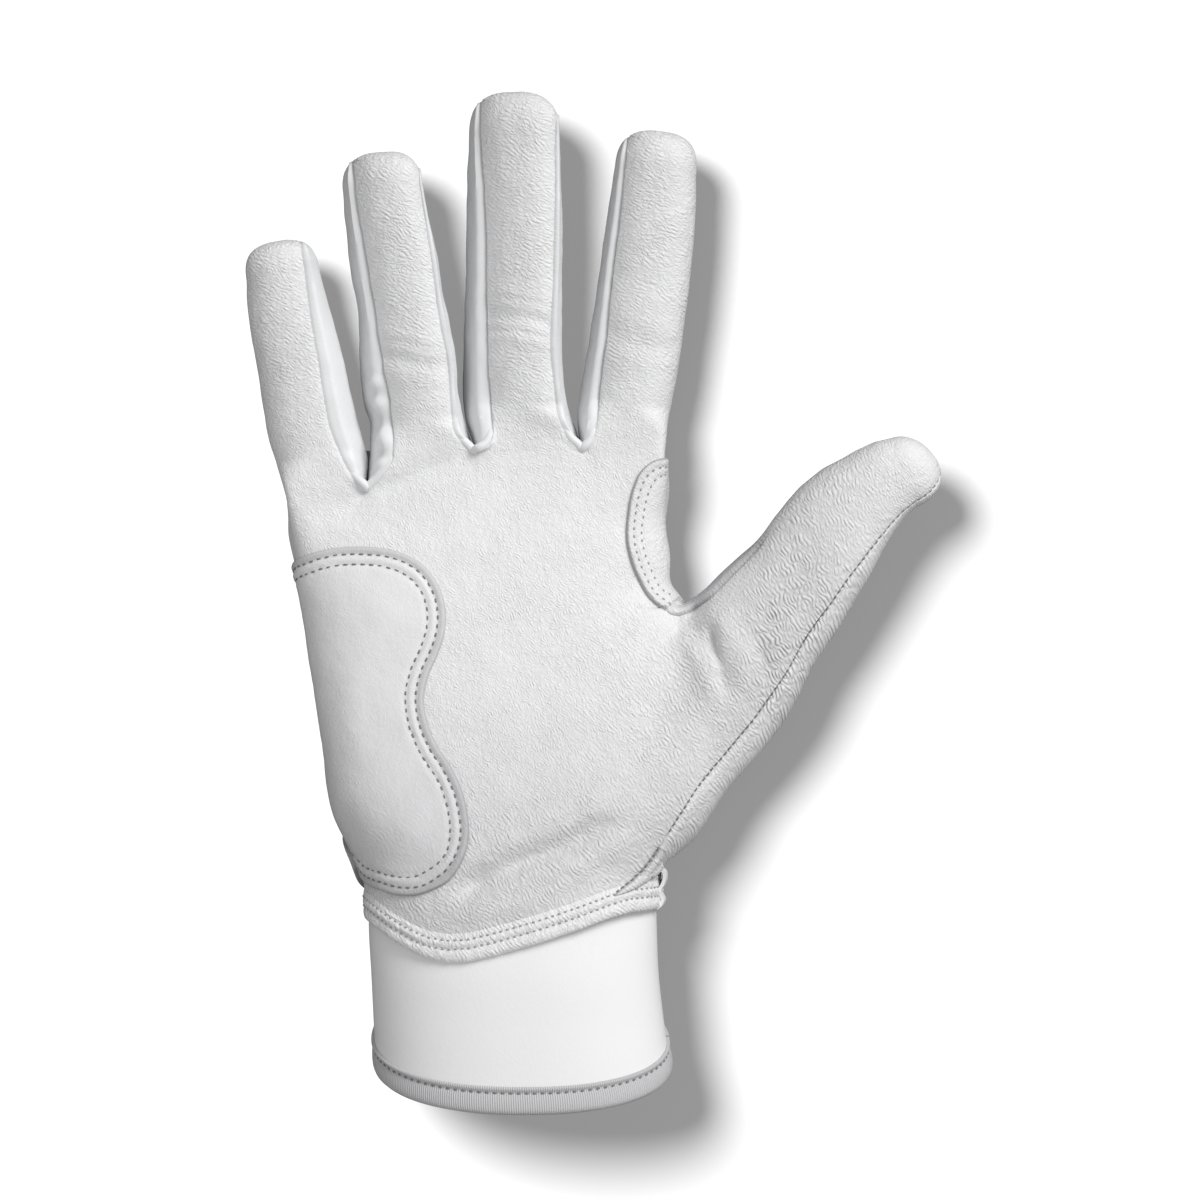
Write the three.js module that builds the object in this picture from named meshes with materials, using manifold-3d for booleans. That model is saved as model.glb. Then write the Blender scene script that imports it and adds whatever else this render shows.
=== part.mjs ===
// A right-hand batting glove, filled as on a hand and lying on its back with the palm up.
// Millimetres and degrees. X runs across the hand towards the thumb, Y along it towards the fingertips,
// and Z up out of the palm. The origin is on the flat of the wrist strap, on which the glove rests.

import * as THREE from "three";
import { mergeVertices } from "three/addons/utils/BufferGeometryUtils.js";
import Module from "manifold-3d";

const { degToRad, radToDeg, lerp } = THREE.MathUtils;

// Sheet thicknesses.
const LEATHER = 1.2;
const STRETCH_FABRIC = 0.9;
const PATCH_LEATHER = 1.2;
const HEM_TAPE = 1;
const HEEL_FOAM = 2;
const CUFF_WALL = 2;
const BINDING_TAPE = 1.1;
const LOOP_PILE = 0.9;
const HOOK_TAPE = 0.8;
const STRAP_WEB = 2.4;
const PULL_TAB = 3;

// Clearances: between panels sewn edge to edge, between layers, and across a bend.
const SEAM_GAP = 0.4;
const LAYER_GAP = 0.3;
const JOINT_GAP = 0.6;

// Fingers. A lean is from straight ahead, towards the thumb. Seams are angles round the finger,
// from 0 at the thumb side through 90 at the palm side; a null seam means that the front wraps round.
const FINGER_RISE = 2.5;
const FINGERS = {
  index: {
    lean: 6,
    length: 76.5,
    knuckle: 101.5,
    rootWidth: 21.5,
    middleWidth: 22.5,
    tipWidth: 20.5,
    rootDepth: 20,
    tipDepth: 16.5,
    tipRound: 10,
    bend: 37,
    thumbSeam: null,
    littleSeam: 131,
  },
  middle: {
    lean: 0,
    length: 85.4,
    knuckle: 101.5,
    rootWidth: 23.5,
    middleWidth: 23,
    tipWidth: 21.5,
    rootDepth: 20.5,
    tipDepth: 16.5,
    tipRound: 10.5,
    bend: 41,
    thumbSeam: 39,
    littleSeam: 121,
  },
  ring: {
    lean: -7,
    length: 75.7,
    knuckle: 97.4,
    rootWidth: 21.4,
    middleWidth: 21,
    tipWidth: 18.5,
    rootDepth: 19.5,
    tipDepth: 16,
    tipRound: 9,
    bend: 36,
    thumbSeam: 36,
    littleSeam: 122,
  },
  little: {
    lean: -10,
    length: 62.6,
    knuckle: 89.5,
    rootWidth: 20,
    middleWidth: 19,
    tipWidth: 16.5,
    rootDepth: 17.5,
    tipDepth: 14.5,
    tipRound: 8,
    bend: 29,
    thumbSeam: 58,
    littleSeam: null,
  },
};
const MIDDLE_FINGER_X = -1.2;
const INDEX_CROTCH = 3.7;
const RING_CROTCH = 0.4;
const LITTLE_CROTCH = 1.95;
const BACK_SEAM_THUMB_SIDE = -40;
const BACK_SEAM_LITTLE_SIDE = 220;
const TIP_CAP = 5;

// Palm sections from the mouth of the leather to the knuckles: a level, the edges on the little-finger
// and thumb sides, the depth from back to palm, and the height of the middle.
const KNUCKLE_MARGIN = 1.5;
const PALM_SECTIONS = [
  { level: -24, little: -36.6, thumb: 34, depth: 39, height: 24 },
  { level: -8, little: -37.4, thumb: 34, depth: 38.6, height: 23.8 },
  { level: 0, little: -39.6, thumb: 36, depth: 37.6, height: 23.2 },
  { level: 14, little: -44.9, thumb: 46, depth: 35.6, height: 22 },
  { level: 32, little: -47.7, thumb: 50, depth: 33.2, height: 18.4 },
  { level: 50, little: -50.8, thumb: 48, depth: 31, height: 15.6 },
  { level: 61, little: -52.4, thumb: 40.5, depth: 29.6, height: 14.8 },
  { level: 68, little: -53.4, thumb: 36.5, depth: 28.4, height: 14.2 },
  { level: 84, little: -55.6, thumb: 35.2, depth: 25, height: 13 },
];
const KNUCKLE_DEPTH = 22.5;
const KNUCKLE_HEIGHT = 12.3;
const SIDE_SEAM_DROP = 14;
const KNUCKLE_PANEL_START = 72;

// Thumb sections from its root line to near the tip: the points on the crotch side and on the outer side.
const THUMB_CROTCH = [39.1, 61.9];
const THUMB_HEEL = [33.4, 0.5];
const THUMB_SECTIONS = [
  { crotch: [47.5, 68.4], outer: [48.5, 16.5], depth: 28, height: 18.5 },
  { crotch: [57, 76.8], outer: [64.5, 37.6], depth: 24.5, height: 19 },
  { crotch: [64.4, 85.4], outer: [75, 57], depth: 22, height: 19.5 },
  { crotch: [70.8, 92.2], outer: [82.4, 69.8], depth: 20, height: 20 },
  { crotch: [79.6, 98.2], outer: [89.4, 81], depth: 18, height: 20.8 },
  { crotch: [86.2, 101.6], outer: [94.6, 88.4], depth: 16, height: 21.4 },
];
const THUMB_ROOT_DEPTH = 29;
const THUMB_ROOT_HEIGHT = 18.2;
const THUMB_TIP_ROUND = 9.5;
const THUMB_BEND_SECTION = 4;
const THUMB_FRONT_SEAM = 52;
const THUMB_BACK_SEAM = 194;

// Overlays on the palm, as outlines seen from above.
const HEEL_PATCH_EDGE = [
  [-62, 74],
  [-50, 76],
  [-36, 77.6],
  [-23.5, 73.4],
  [-17.8, 62.4],
  [-21.8, 46.8],
  [-22.4, 36],
  [-14.4, 20.4],
  [-12.4, 8.4],
  [-17.5, -3],
  [-28.8, -6.3],
  [-37.5, -3.5],
  [-62, -2],
];
const HEEL_PATCH_MIDDLE = 32;
const HEEL_PATCH_BORDER = 5;
const HEEL_FOAM_MARGIN = 1.6;
const HEEL_PATCH_WRAP = 184;
const CROTCH_PATCH_EDGE = [
  [52, 97.5],
  [34.6, 97.5],
  [28.8, 94.8],
  [25.8, 86],
  [25.5, 78],
  [28.4, 69.6],
  [34, 64.2],
  [52, 64.2],
];
const PALM_HEM = [
  [-60, -9.5],
  [-37, -10.2],
  [-27.5, -18],
  [-18.5, -21.2],
  [-5, -19.4],
  [14.4, -13.6],
  [27, -9.4],
  [60, -8.2],
];
const HEM_BAND_WIDTH = 5.6;
const BACK_HEM = -12;

// Cuff and its binding. The mouth slants, so that its palm side is the longer one.
const CUFF_TOP = -6;
const CUFF_MOUTH = -45.5;
const CUFF_SLANT = 9.5;
const CUFF_MOUTH_LITTLE = -34.6;
const CUFF_MOUTH_THUMB = 35.8;
const CUFF_MOUTH_DEPTH = 41;
const CUFF_MOUTH_HEIGHT = 24.4;
const BINDING_HEIGHT = 5;

// Wrist closure on the back.
const STRAP_WIDTH = 24;
const ANCHOR_START = 188;
const STRAP_START = 205;
const STRAP_END = 300;
const PULL_TAB_END = 314;
const HOOK_START = 258;
const LOOP_START = 252;
const CLOSURE_MARGIN = 3;
const GUSSET_TOP = 26;
const GUSSET_HALF_WIDTH = 9;
const GUSSET_LAP = 4;
const TAB_HALF_ANGLE = 13;
const TAB_LENGTH = 6.5;
const TAB_TOP = -1.2;

// Finish of each material as the photograph shows it.
const FINISHES = {
  leather: { color: 0xe9e9ea, roughness: 0.62, metalness: 0 },
  smoothLeather: { color: 0xe4e4e6, roughness: 0.5, metalness: 0 },
  fourchette: { color: 0xdcdde0, roughness: 0.55, metalness: 0 },
  fabric: { color: 0xd9dadd, roughness: 0.85, metalness: 0 },
  cuff: { color: 0xe6e6e8, roughness: 0.7, metalness: 0 },
  tape: { color: 0xdedfe2, roughness: 0.8, metalness: 0 },
  foam: { color: 0xcfd0d2, roughness: 0.9, metalness: 0 },
  rubber: { color: 0xd4d5d8, roughness: 0.6, metalness: 0 },
};

// Shape of the rounded sections, and how finely everything is faceted.
const OVAL_POWER = 2.4;
const PALM_MIDDLE_ANGLE = 90;
const ANGLE_STEP = 20;
const SHORTEST_FACET = 0.4;
const CURVE_POINTS = 26;
const LOWER_STEPS = 2;
const UPPER_STEPS = 4;
const TIP_STEPS = 3;
const ROOT_LINE_STEPS = 8;
const FAR = 160;
const OVERHANG = 40;
const VERTEX_MERGE = 1e-4;

const wasm = await Module();
wasm.setup();

function solidOf(geometry) {
  geometry.deleteAttribute("normal");
  geometry.deleteAttribute("uv");
  const merged = mergeVertices(geometry, VERTEX_MERGE);
  const mesh = new wasm.Mesh({
    numProp: 3,
    vertProperties: merged.attributes.position.array,
    triVerts: new Uint32Array(merged.index.array),
  });
  return new wasm.Manifold(mesh);
}

function geometryOf(solid) {
  const mesh = solid.getMesh();
  const geometry = new THREE.BufferGeometry();
  geometry.setAttribute("position", new THREE.BufferAttribute(mesh.vertProperties, 3));
  geometry.setIndex(new THREE.BufferAttribute(mesh.triVerts, 1));
  return geometry;
}

function facedSolid(points, triangles) {
  const geometry = new THREE.BufferGeometry().setFromPoints(points);
  geometry.setIndex(triangles);
  return solidOf(geometry);
}

// Width and depth shares of a rounded box at an angle.
function ovalShares(angle) {
  const share = (value) => Math.sign(value) * Math.abs(value) ** (2 / OVAL_POWER);
  return [share(Math.cos(degToRad(angle))), share(Math.sin(degToRad(angle)))];
}

// How far a rounded end has drawn in, from 1 where it starts to 0 at its tip.
function roundedEnd(share) {
  return Math.max(0, 1 - share ** OVAL_POWER) ** (1 / OVAL_POWER);
}

// A width that runs from a start to an end and bows out to a middle value halfway.
function bowed(start, middle, end, share) {
  const bow = middle - (start + end) / 2;
  return lerp(start, end, share) + 4 * bow * share * (1 - share);
}

// The ends of a stretch and the marks between them, so that layers over each other share their facets.
function stops(from, to, marks) {
  const inside = (mark) => mark > from + SHORTEST_FACET && mark < to - SHORTEST_FACET;
  return [from, ...marks.filter(inside), to];
}

function evenMarks(from, to, steps) {
  return Array.from({ length: steps + 1 }, (_, i) => lerp(from, to, i / steps));
}

const ANGLE_MARKS = evenMarks(-180, 540, 720 / ANGLE_STEP);

// A limb is a function of an angle round it, a place along it and a depth under its skin.
// This makes a wall of a limb, between two angles, two places and two depths.
function wall(limb, from, to, places, outer, inner) {
  const angles = stops(from, to, ANGLE_MARKS);
  const turns = angles.length - 1;
  const steps = places.length - 1;
  const points = [outer, inner].flatMap((inset) =>
    angles.flatMap((angle) => places.map((place) => limb(angle, place, inset))),
  );
  const at = (layer, i, j) => (layer * (turns + 1) + i) * (steps + 1) + j;
  const triangles = [];
  const quad = (a, b, c, d) => triangles.push(a, b, c, a, c, d);
  for (let i = 0; i < turns; i++) {
    for (let j = 0; j < steps; j++) {
      quad(at(0, i, j), at(0, i, j + 1), at(0, i + 1, j + 1), at(0, i + 1, j));
      quad(at(1, i, j), at(1, i + 1, j), at(1, i + 1, j + 1), at(1, i, j + 1));
    }
    quad(at(0, i, 0), at(0, i + 1, 0), at(1, i + 1, 0), at(1, i, 0));
    quad(at(0, i, steps), at(1, i, steps), at(1, i + 1, steps), at(0, i + 1, steps));
  }
  for (let j = 0; j < steps; j++) {
    quad(at(0, 0, j), at(1, 0, j), at(1, 0, j + 1), at(0, 0, j + 1));
    quad(at(0, turns, j), at(0, turns, j + 1), at(1, turns, j + 1), at(1, turns, j));
  }
  return facedSolid(points, triangles);
}

// A length of a limb, solid all through, with a facet edge at each seam angle that is given.
function core(limb, places, inset, seams = []) {
  const marks = seams.map((seam) => THREE.MathUtils.euclideanModulo(seam, 360));
  const angles = [...ANGLE_MARKS.filter((mark) => mark >= 0 && mark < 360), ...marks].sort((a, b) => a - b);
  const turns = angles.length;
  const steps = places.length - 1;
  const points = places.flatMap((place) => angles.map((angle) => limb(angle, place, inset)));
  const triangles = [];
  for (let j = 0; j < steps; j++) {
    for (let i = 0; i < turns; i++) {
      const next = (i + 1) % turns;
      const low = j * turns;
      const high = low + turns;
      triangles.push(low + i, high + i, high + next, low + i, high + next, low + next);
    }
  }
  for (const [ring, outward] of [[0, -1], [steps, 1]]) {
    const centre = new THREE.Vector3();
    const first = ring * turns;
    points.slice(first, first + turns).forEach((point) => centre.addScaledVector(point, 1 / turns));
    const middle = points.push(centre) - 1;
    for (let i = 0; i < turns; i++) {
      const next = (i + 1) % turns;
      const edge = outward > 0 ? [first + next, first + i] : [first + i, first + next];
      triangles.push(middle, ...edge);
    }
  }
  return facedSolid(points, triangles);
}

// A plate with an outline seen from above, from far below the glove to a height.
function plate(outline, top = FAR) {
  const shape = new THREE.Shape(outline.map(([x, y]) => new THREE.Vector2(x, y)));
  const geometry = new THREE.ExtrudeGeometry(shape, { depth: top + FAR, bevelEnabled: false });
  return solidOf(geometry.translate(0, 0, -FAR));
}

function curveThrough(points) {
  const curve = new THREE.SplineCurve(points.map(([x, y]) => new THREE.Vector2(x, y)));
  return curve.getPoints(CURVE_POINTS).map((point) => [point.x, point.y]);
}

// An open outline moved to its right by a distance, as seen when walking along it.
function movedRight(points, distance) {
  return points.map(([x, y], i) => {
    const [ax, ay] = points[Math.max(0, i - 1)];
    const [bx, by] = points[Math.min(points.length - 1, i + 1)];
    const length = Math.hypot(bx - ax, by - ay);
    return [x + ((by - ay) / length) * distance, y - ((bx - ax) / length) * distance];
  });
}

function seamAngle(radius) {
  return radToDeg(SEAM_GAP / radius);
}

const glove = new THREE.Group();
glove.name = "batting_glove";

function addPiece(parent, name, solid, finish) {
  const pivot = parent.userData.pivot ?? new THREE.Vector3();
  const geometry = geometryOf(solid).translate(-pivot.x, -pivot.y, -pivot.z);
  const mesh = new THREE.Mesh(geometry, new THREE.MeshStandardMaterial(FINISHES[finish]));
  mesh.name = name;
  parent.add(mesh);
}

// A group that turns on a hinge. The axis is the direction about which a positive turn bends it.
function addHinge(parent, pivot, axis) {
  const group = new THREE.Group();
  const parentPivot = parent.userData.pivot ?? new THREE.Vector3();
  group.position.subVectors(pivot, parentPivot);
  group.userData = { pivot, axis };
  parent.add(group);
  return group;
}

// Where each finger starts, side by side from the middle finger outwards.
const { index, middle, ring, little } = FINGERS;
middle.x = MIDDLE_FINGER_X;
index.x = middle.x + middle.rootWidth / 2 + INDEX_CROTCH + index.rootWidth / 2;
ring.x = middle.x - middle.rootWidth / 2 - RING_CROTCH - ring.rootWidth / 2;
little.x = ring.x - ring.rootWidth / 2 - LITTLE_CROTCH - little.rootWidth / 2;

function fingerAxes(finger) {
  const lean = degToRad(finger.lean);
  const rise = degToRad(FINGER_RISE);
  const across = new THREE.Vector3(Math.cos(lean), -Math.sin(lean), 0);
  const level = new THREE.Vector3(Math.sin(lean), Math.cos(lean), 0);
  const along = level.multiplyScalar(Math.cos(rise)).add(new THREE.Vector3(0, 0, Math.sin(rise)));
  return { across, along, up: across.clone().cross(along) };
}

function fingerLimb(finger) {
  const { across, along, up } = fingerAxes(finger);
  const root = new THREE.Vector3(finger.x, finger.knuckle, KNUCKLE_HEIGHT);
  const straight = finger.length - finger.tipRound;
  return (angle, place, inset) => {
    const share = Math.min(place, straight) / straight;
    const past = Math.max(0, place - straight) / finger.tipRound;
    const reach = Math.min(place, straight) + past * (finger.tipRound - inset);
    const width = bowed(finger.rootWidth, finger.middleWidth, finger.tipWidth, share);
    const depth = lerp(finger.rootDepth, finger.tipDepth, share);
    const [sideways, upwards] = ovalShares(angle);
    return root
      .clone()
      .addScaledVector(along, reach)
      .addScaledVector(across, sideways * (width / 2 - inset) * roundedEnd(past))
      .addScaledVector(up, upwards * (depth / 2 - inset) * roundedEnd(past));
  };
}

// The level of a palm section, its edges and its height, part way between two of the list.
const knuckleTop = Math.max(...Object.values(FINGERS).map((finger) => finger.knuckle));
const knuckleSection = {
  level: knuckleTop + KNUCKLE_MARGIN,
  little: little.x - little.rootWidth / 2 - KNUCKLE_MARGIN,
  thumb: index.x + index.rootWidth / 2,
  depth: KNUCKLE_DEPTH,
  height: KNUCKLE_HEIGHT,
};
const palmSections = [...PALM_SECTIONS, knuckleSection];

function sectionAt(sections, level) {
  const last = sections.length - 2;
  const found = sections.findIndex((section, i) => i > 0 && section.level >= level) - 1;
  const low = sections[found < 0 ? last : found];
  const high = sections[(found < 0 ? last : found) + 1];
  const share = (level - low.level) / (high.level - low.level);
  const mix = (key) => lerp(low[key], high[key], share);
  return { little: mix("little"), thumb: mix("thumb"), depth: mix("depth"), height: mix("height") };
}

function sectionPoint({ little: left, thumb: right, depth, height }, level, angle, inset) {
  const [sideways, upwards] = ovalShares(angle);
  return new THREE.Vector3(
    (left + right) / 2 + sideways * ((right - left) / 2 - inset),
    level,
    height + upwards * (depth / 2 - inset),
  );
}

function palmLimb(angle, level, inset) {
  return sectionPoint(sectionAt(palmSections, level), level, angle, inset);
}

const palmStart = PALM_SECTIONS[0].level;
const palmEnd = knuckleSection.level;

// A wall of the palm's limb between two levels.
function palmWall(from, to, start, end, outer, inner) {
  const places = stops(start, end, palmSections.map((section) => section.level));
  return wall(palmLimb, from, to, places, outer, inner);
}

// What is cut from the palm: the fingers' side of the knuckle line and the thumb's side of its root line.
const knuckleLine = [little, ring, middle, index].flatMap((finger) => {
  const { across, along } = fingerAxes(finger);
  const root = new THREE.Vector3(finger.x, finger.knuckle, 0).addScaledVector(along, -JOINT_GAP);
  return [-1, 1].map((side) => {
    const overhang = (finger === little && side < 0) || (finger === index && side > 0) ? OVERHANG : 0;
    const corner = root.clone().addScaledVector(across, side * (finger.rootWidth / 2 + overhang));
    return [corner.x, corner.y];
  });
});
const beyondKnuckles = plate([...knuckleLine, [FAR, FAR], [-FAR, FAR]]);

const thumbHeel = new THREE.Vector3(...THUMB_HEEL, 0);
const thumbCrotch = new THREE.Vector3(...THUMB_CROTCH, 0);
const thumbAxis = thumbCrotch.clone().sub(thumbHeel).normalize();
const thumbOutward = new THREE.Vector3(thumbAxis.y, -thumbAxis.x, 0);
const rootLine = (end, alongShift) => {
  const point = end.clone().addScaledVector(thumbAxis, alongShift);
  point.addScaledVector(thumbOutward, -JOINT_GAP / 2);
  return [point.x, point.y];
};
const besideThumb = plate([
  rootLine(thumbHeel, -JOINT_GAP),
  [FAR, THUMB_HEEL[1] - JOINT_GAP],
  [FAR, THUMB_CROTCH[1] + KNUCKLE_MARGIN],
  rootLine(thumbCrotch, KNUCKLE_MARGIN),
]);

// Palm panel: from a seam low on the little-finger side, over the palm, to one low on the index side.
const hemLine = curveThrough(PALM_HEM);
const palmFrom = -SIDE_SEAM_DROP;
const palmTo = 180 + SIDE_SEAM_DROP;
const palmPanel = palmWall(palmFrom, palmTo, palmStart, palmEnd, 0, LEATHER)
  .subtract(beyondKnuckles)
  .subtract(besideThumb)
  .subtract(plate([...hemLine, [FAR, -FAR], [-FAR, -FAR]]));
addPiece(glove, "palm_panel", palmPanel, "leather");

// Hem band: the folded edge of the palm leather, a tape outside its lower edge.
const hemOuter = -LAYER_GAP - HEM_TAPE;
const bandTop = movedRight(hemLine, -HEM_BAND_WIDTH);
const hemBand = palmWall(0, 180, palmStart, TAB_TOP, hemOuter, -LAYER_GAP)
  .intersect(plate([...hemLine, ...bandTop.reverse()]));
addPiece(glove, "palm_hem_band", hemBand, "leather");

// Heel patch: a leather layer with a border sewn down all round a foam pad.
function onPalm(outline, from, to, outer, inner) {
  return palmWall(from, to, palmStart, palmEnd, outer, inner).intersect(plate(outline));
}
const patchEdge = curveThrough(HEEL_PATCH_EDGE);
const foamTop = -LAYER_GAP - HEEL_FOAM;
const raisedTop = foamTop - LAYER_GAP - PATCH_LEATHER;
const patchOuter = -LAYER_GAP - PATCH_LEATHER;
const heelDepth = sectionAt(palmSections, HEEL_PATCH_MIDDLE).depth;
const foamBorder = HEEL_PATCH_BORDER + HEEL_FOAM_MARGIN;
const foamWrap = HEEL_PATCH_WRAP - radToDeg(foamBorder / heelDepth);
const pocketWrap = foamWrap + seamAngle(heelDepth / 2);
const raisedWrap = foamWrap + radToDeg(HEEL_FOAM_MARGIN / heelDepth);
const raisedEdge = movedRight(patchEdge, HEEL_PATCH_BORDER);
const foamEdge = movedRight(patchEdge, foamBorder);
const pocketEdge = movedRight(patchEdge, foamBorder - LAYER_GAP);
const heelFoam = onPalm(foamEdge, PALM_MIDDLE_ANGLE, foamWrap, foamTop, -LAYER_GAP);
const heelPocket = onPalm(pocketEdge, PALM_MIDDLE_ANGLE, pocketWrap, foamTop - LAYER_GAP, 0);
const heelPatch = onPalm(patchEdge, PALM_MIDDLE_ANGLE, HEEL_PATCH_WRAP, patchOuter, -LAYER_GAP)
  .add(onPalm(raisedEdge, PALM_MIDDLE_ANGLE, raisedWrap, raisedTop, -LAYER_GAP))
  .subtract(heelPocket);
addPiece(glove, "heel_patch", heelPatch, "smoothLeather");
addPiece(glove, "heel_foam", heelFoam, "foam");

// Thumb crotch patch: a second layer where the bat's handle rubs between index and thumb.
const crotchEdge = curveThrough(CROTCH_PATCH_EDGE);
const crotchPatch = onPalm(crotchEdge, palmFrom, PALM_MIDDLE_ANGLE, patchOuter, -LAYER_GAP)
  .subtract(beyondKnuckles);
addPiece(glove, "thumb_crotch_patch", crotchPatch, "smoothLeather");

// Back of the hand: leather below, with a notch at the wrist, and stretch fabric over the knuckles.
const sideGap = seamAngle(KNUCKLE_DEPTH / 2);
const backFrom = palmTo + sideGap;
const backTo = 360 + palmFrom - sideGap;
const wristSection = sectionAt(palmSections, CUFF_TOP);
const wristMiddle = (wristSection.little + wristSection.thumb) / 2;
const notch = plate([
  [wristMiddle - GUSSET_HALF_WIDTH, BACK_HEM - JOINT_GAP],
  [wristMiddle + GUSSET_HALF_WIDTH, BACK_HEM - JOINT_GAP],
  [wristMiddle, GUSSET_TOP],
]);
const backPanel = palmWall(backFrom, backTo, BACK_HEM, KNUCKLE_PANEL_START, 0, LEATHER)
  .subtract(besideThumb)
  .subtract(notch);
addPiece(glove, "back_panel", backPanel, "leather");
const knucklePanelStart = KNUCKLE_PANEL_START + SEAM_GAP;
const knucklePanel = palmWall(backFrom, backTo, knucklePanelStart, palmEnd, 0, STRETCH_FABRIC)
  .subtract(beyondKnuckles);
addPiece(glove, "knuckle_panel", knucklePanel, "fabric");
const gussetOuter = LEATHER + LAYER_GAP;
const gussetStart = CUFF_TOP + SEAM_GAP;
const gussetEnd = GUSSET_TOP + GUSSET_LAP;
const gusset = palmWall(backFrom, backTo, gussetStart, gussetEnd, gussetOuter, gussetOuter + STRETCH_FABRIC)
  .intersect(plate([
    [wristMiddle - GUSSET_HALF_WIDTH - GUSSET_LAP, gussetStart - JOINT_GAP],
    [wristMiddle + GUSSET_HALF_WIDTH + GUSSET_LAP, gussetStart - JOINT_GAP],
    [wristMiddle + GUSSET_LAP, gussetEnd],
    [wristMiddle - GUSSET_LAP, gussetEnd],
  ]));
addPiece(glove, "wrist_gusset", gusset, "fabric");

// Wrist tab: a small folded loop sewn on the thumb side of the wrist.
const tabStart = TAB_TOP - TAB_LENGTH;
const tabInner = hemOuter - LAYER_GAP;
const wristTab = palmWall(-TAB_HALF_ANGLE, TAB_HALF_ANGLE, tabStart, TAB_TOP, tabInner - HEM_TAPE, tabInner);
addPiece(glove, "wrist_tab", wristTab, "tape");

// Cuff: a tube that starts inside the leather's mouth and ends at a slanting hem.
const cuffInset = LEATHER + LAYER_GAP;
function insideLeather(level) {
  const section = sectionAt(palmSections, level);
  return {
    level,
    little: section.little + cuffInset,
    thumb: section.thumb - cuffInset,
    depth: section.depth - 2 * cuffInset,
    height: section.height,
  };
}
const cuffMouthSection = {
  level: CUFF_MOUTH,
  little: CUFF_MOUTH_LITTLE,
  thumb: CUFF_MOUTH_THUMB,
  depth: CUFF_MOUTH_DEPTH,
  height: CUFF_MOUTH_HEIGHT,
};
const coveredLevels = PALM_SECTIONS.map((section) => section.level).filter((level) => level < CUFF_TOP);
const cuffSections = [cuffMouthSection, ...[...coveredLevels, CUFF_TOP].map(insideLeather)];

// The place along the cuff is the distance from its top along the sides, less than 0 towards its mouth.
const cuffLength = CUFF_TOP - CUFF_MOUTH;
function cuffLimb(angle, place, inset) {
  const level = CUFF_TOP + place;
  const section = sectionAt(cuffSections, level);
  const point = sectionPoint(section, level, angle, inset);
  const slant = CUFF_SLANT * (place / cuffLength) ** 2;
  point.y -= (slant * (point.z - section.height)) / (section.depth / 2);
  return point;
}
const cuffEnd = cuffLength - LAYER_GAP - BINDING_TAPE;
const cuffSeam = seamAngle(CUFF_MOUTH_DEPTH / 2) / 2;
const cuffFrom = palmFrom + cuffSeam;
const cuffTo = palmTo - cuffSeam;
const cuffLevels = [...cuffSections.map((section) => section.level), (palmStart + CUFF_MOUTH) / 2];
const cuffMarks = cuffLevels.map((level) => level - CUFF_TOP).sort((a, b) => a - b);
const cuffPlaces = stops(-cuffEnd, 0, cuffMarks);
const cuffPalm = wall(cuffLimb, cuffFrom, cuffTo, cuffPlaces, 0, CUFF_WALL);
addPiece(glove, "cuff_palm_side", cuffPalm, "cuff");
const cuffBackFrom = cuffTo + 2 * cuffSeam;
const cuffBackTo = 360 + cuffFrom - 2 * cuffSeam;
const cuffBack = wall(cuffLimb, cuffBackFrom, cuffBackTo, cuffPlaces, 0, CUFF_WALL);
addPiece(glove, "cuff_back_side", cuffBack, "cuff");
const bindingStart = cuffLength - BINDING_HEIGHT;
const cuffSeams = [cuffFrom, cuffTo, cuffBackFrom, cuffBackTo];
function cuffCore(start, end, inset) {
  return core(cuffLimb, stops(-end, -start, cuffMarks), inset, cuffSeams);
}
const bindingFold = LAYER_GAP + BINDING_TAPE;
const cutStart = bindingStart - JOINT_GAP;
const bindingMouth = cuffCore(cutStart, cuffLength + JOINT_GAP, CUFF_WALL + bindingFold);
const cuffRoom = cuffCore(cutStart, cuffEnd + LAYER_GAP, -LAYER_GAP)
  .subtract(cuffCore(cutStart - JOINT_GAP, cuffLength, CUFF_WALL + LAYER_GAP));
const binding = cuffCore(bindingStart, cuffLength, -bindingFold)
  .subtract(bindingMouth)
  .subtract(cuffRoom);
addPiece(glove, "cuff_binding", binding, "tape");

// Wrist strap: sewn at its anchor on the little-finger side and hooked down on the thumb side.
const strapStart = -STRAP_WIDTH / 2;
const strapEnd = STRAP_WIDTH / 2;
const pileOuter = -LAYER_GAP - LOOP_PILE;
const hookOuter = pileOuter - LAYER_GAP - HOOK_TAPE;
const strapInner = hookOuter - LAYER_GAP;
const strapOuter = strapInner - STRAP_WEB;
const closureStart = strapStart + CLOSURE_MARGIN;
const closureEnd = strapEnd - CLOSURE_MARGIN;
const strapGap = seamAngle(sectionAt(palmSections, 0).depth / 2);
const anchorEnd = STRAP_START - strapGap;
const anchor = palmWall(ANCHOR_START, anchorEnd, strapStart, strapEnd, strapOuter, -LAYER_GAP);
addPiece(glove, "strap_anchor", anchor, "smoothLeather");
const loopPatch = palmWall(LOOP_START, STRAP_END, closureStart, closureEnd, pileOuter, -LAYER_GAP);
addPiece(glove, "loop_patch", loopPatch, "fabric");

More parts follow.
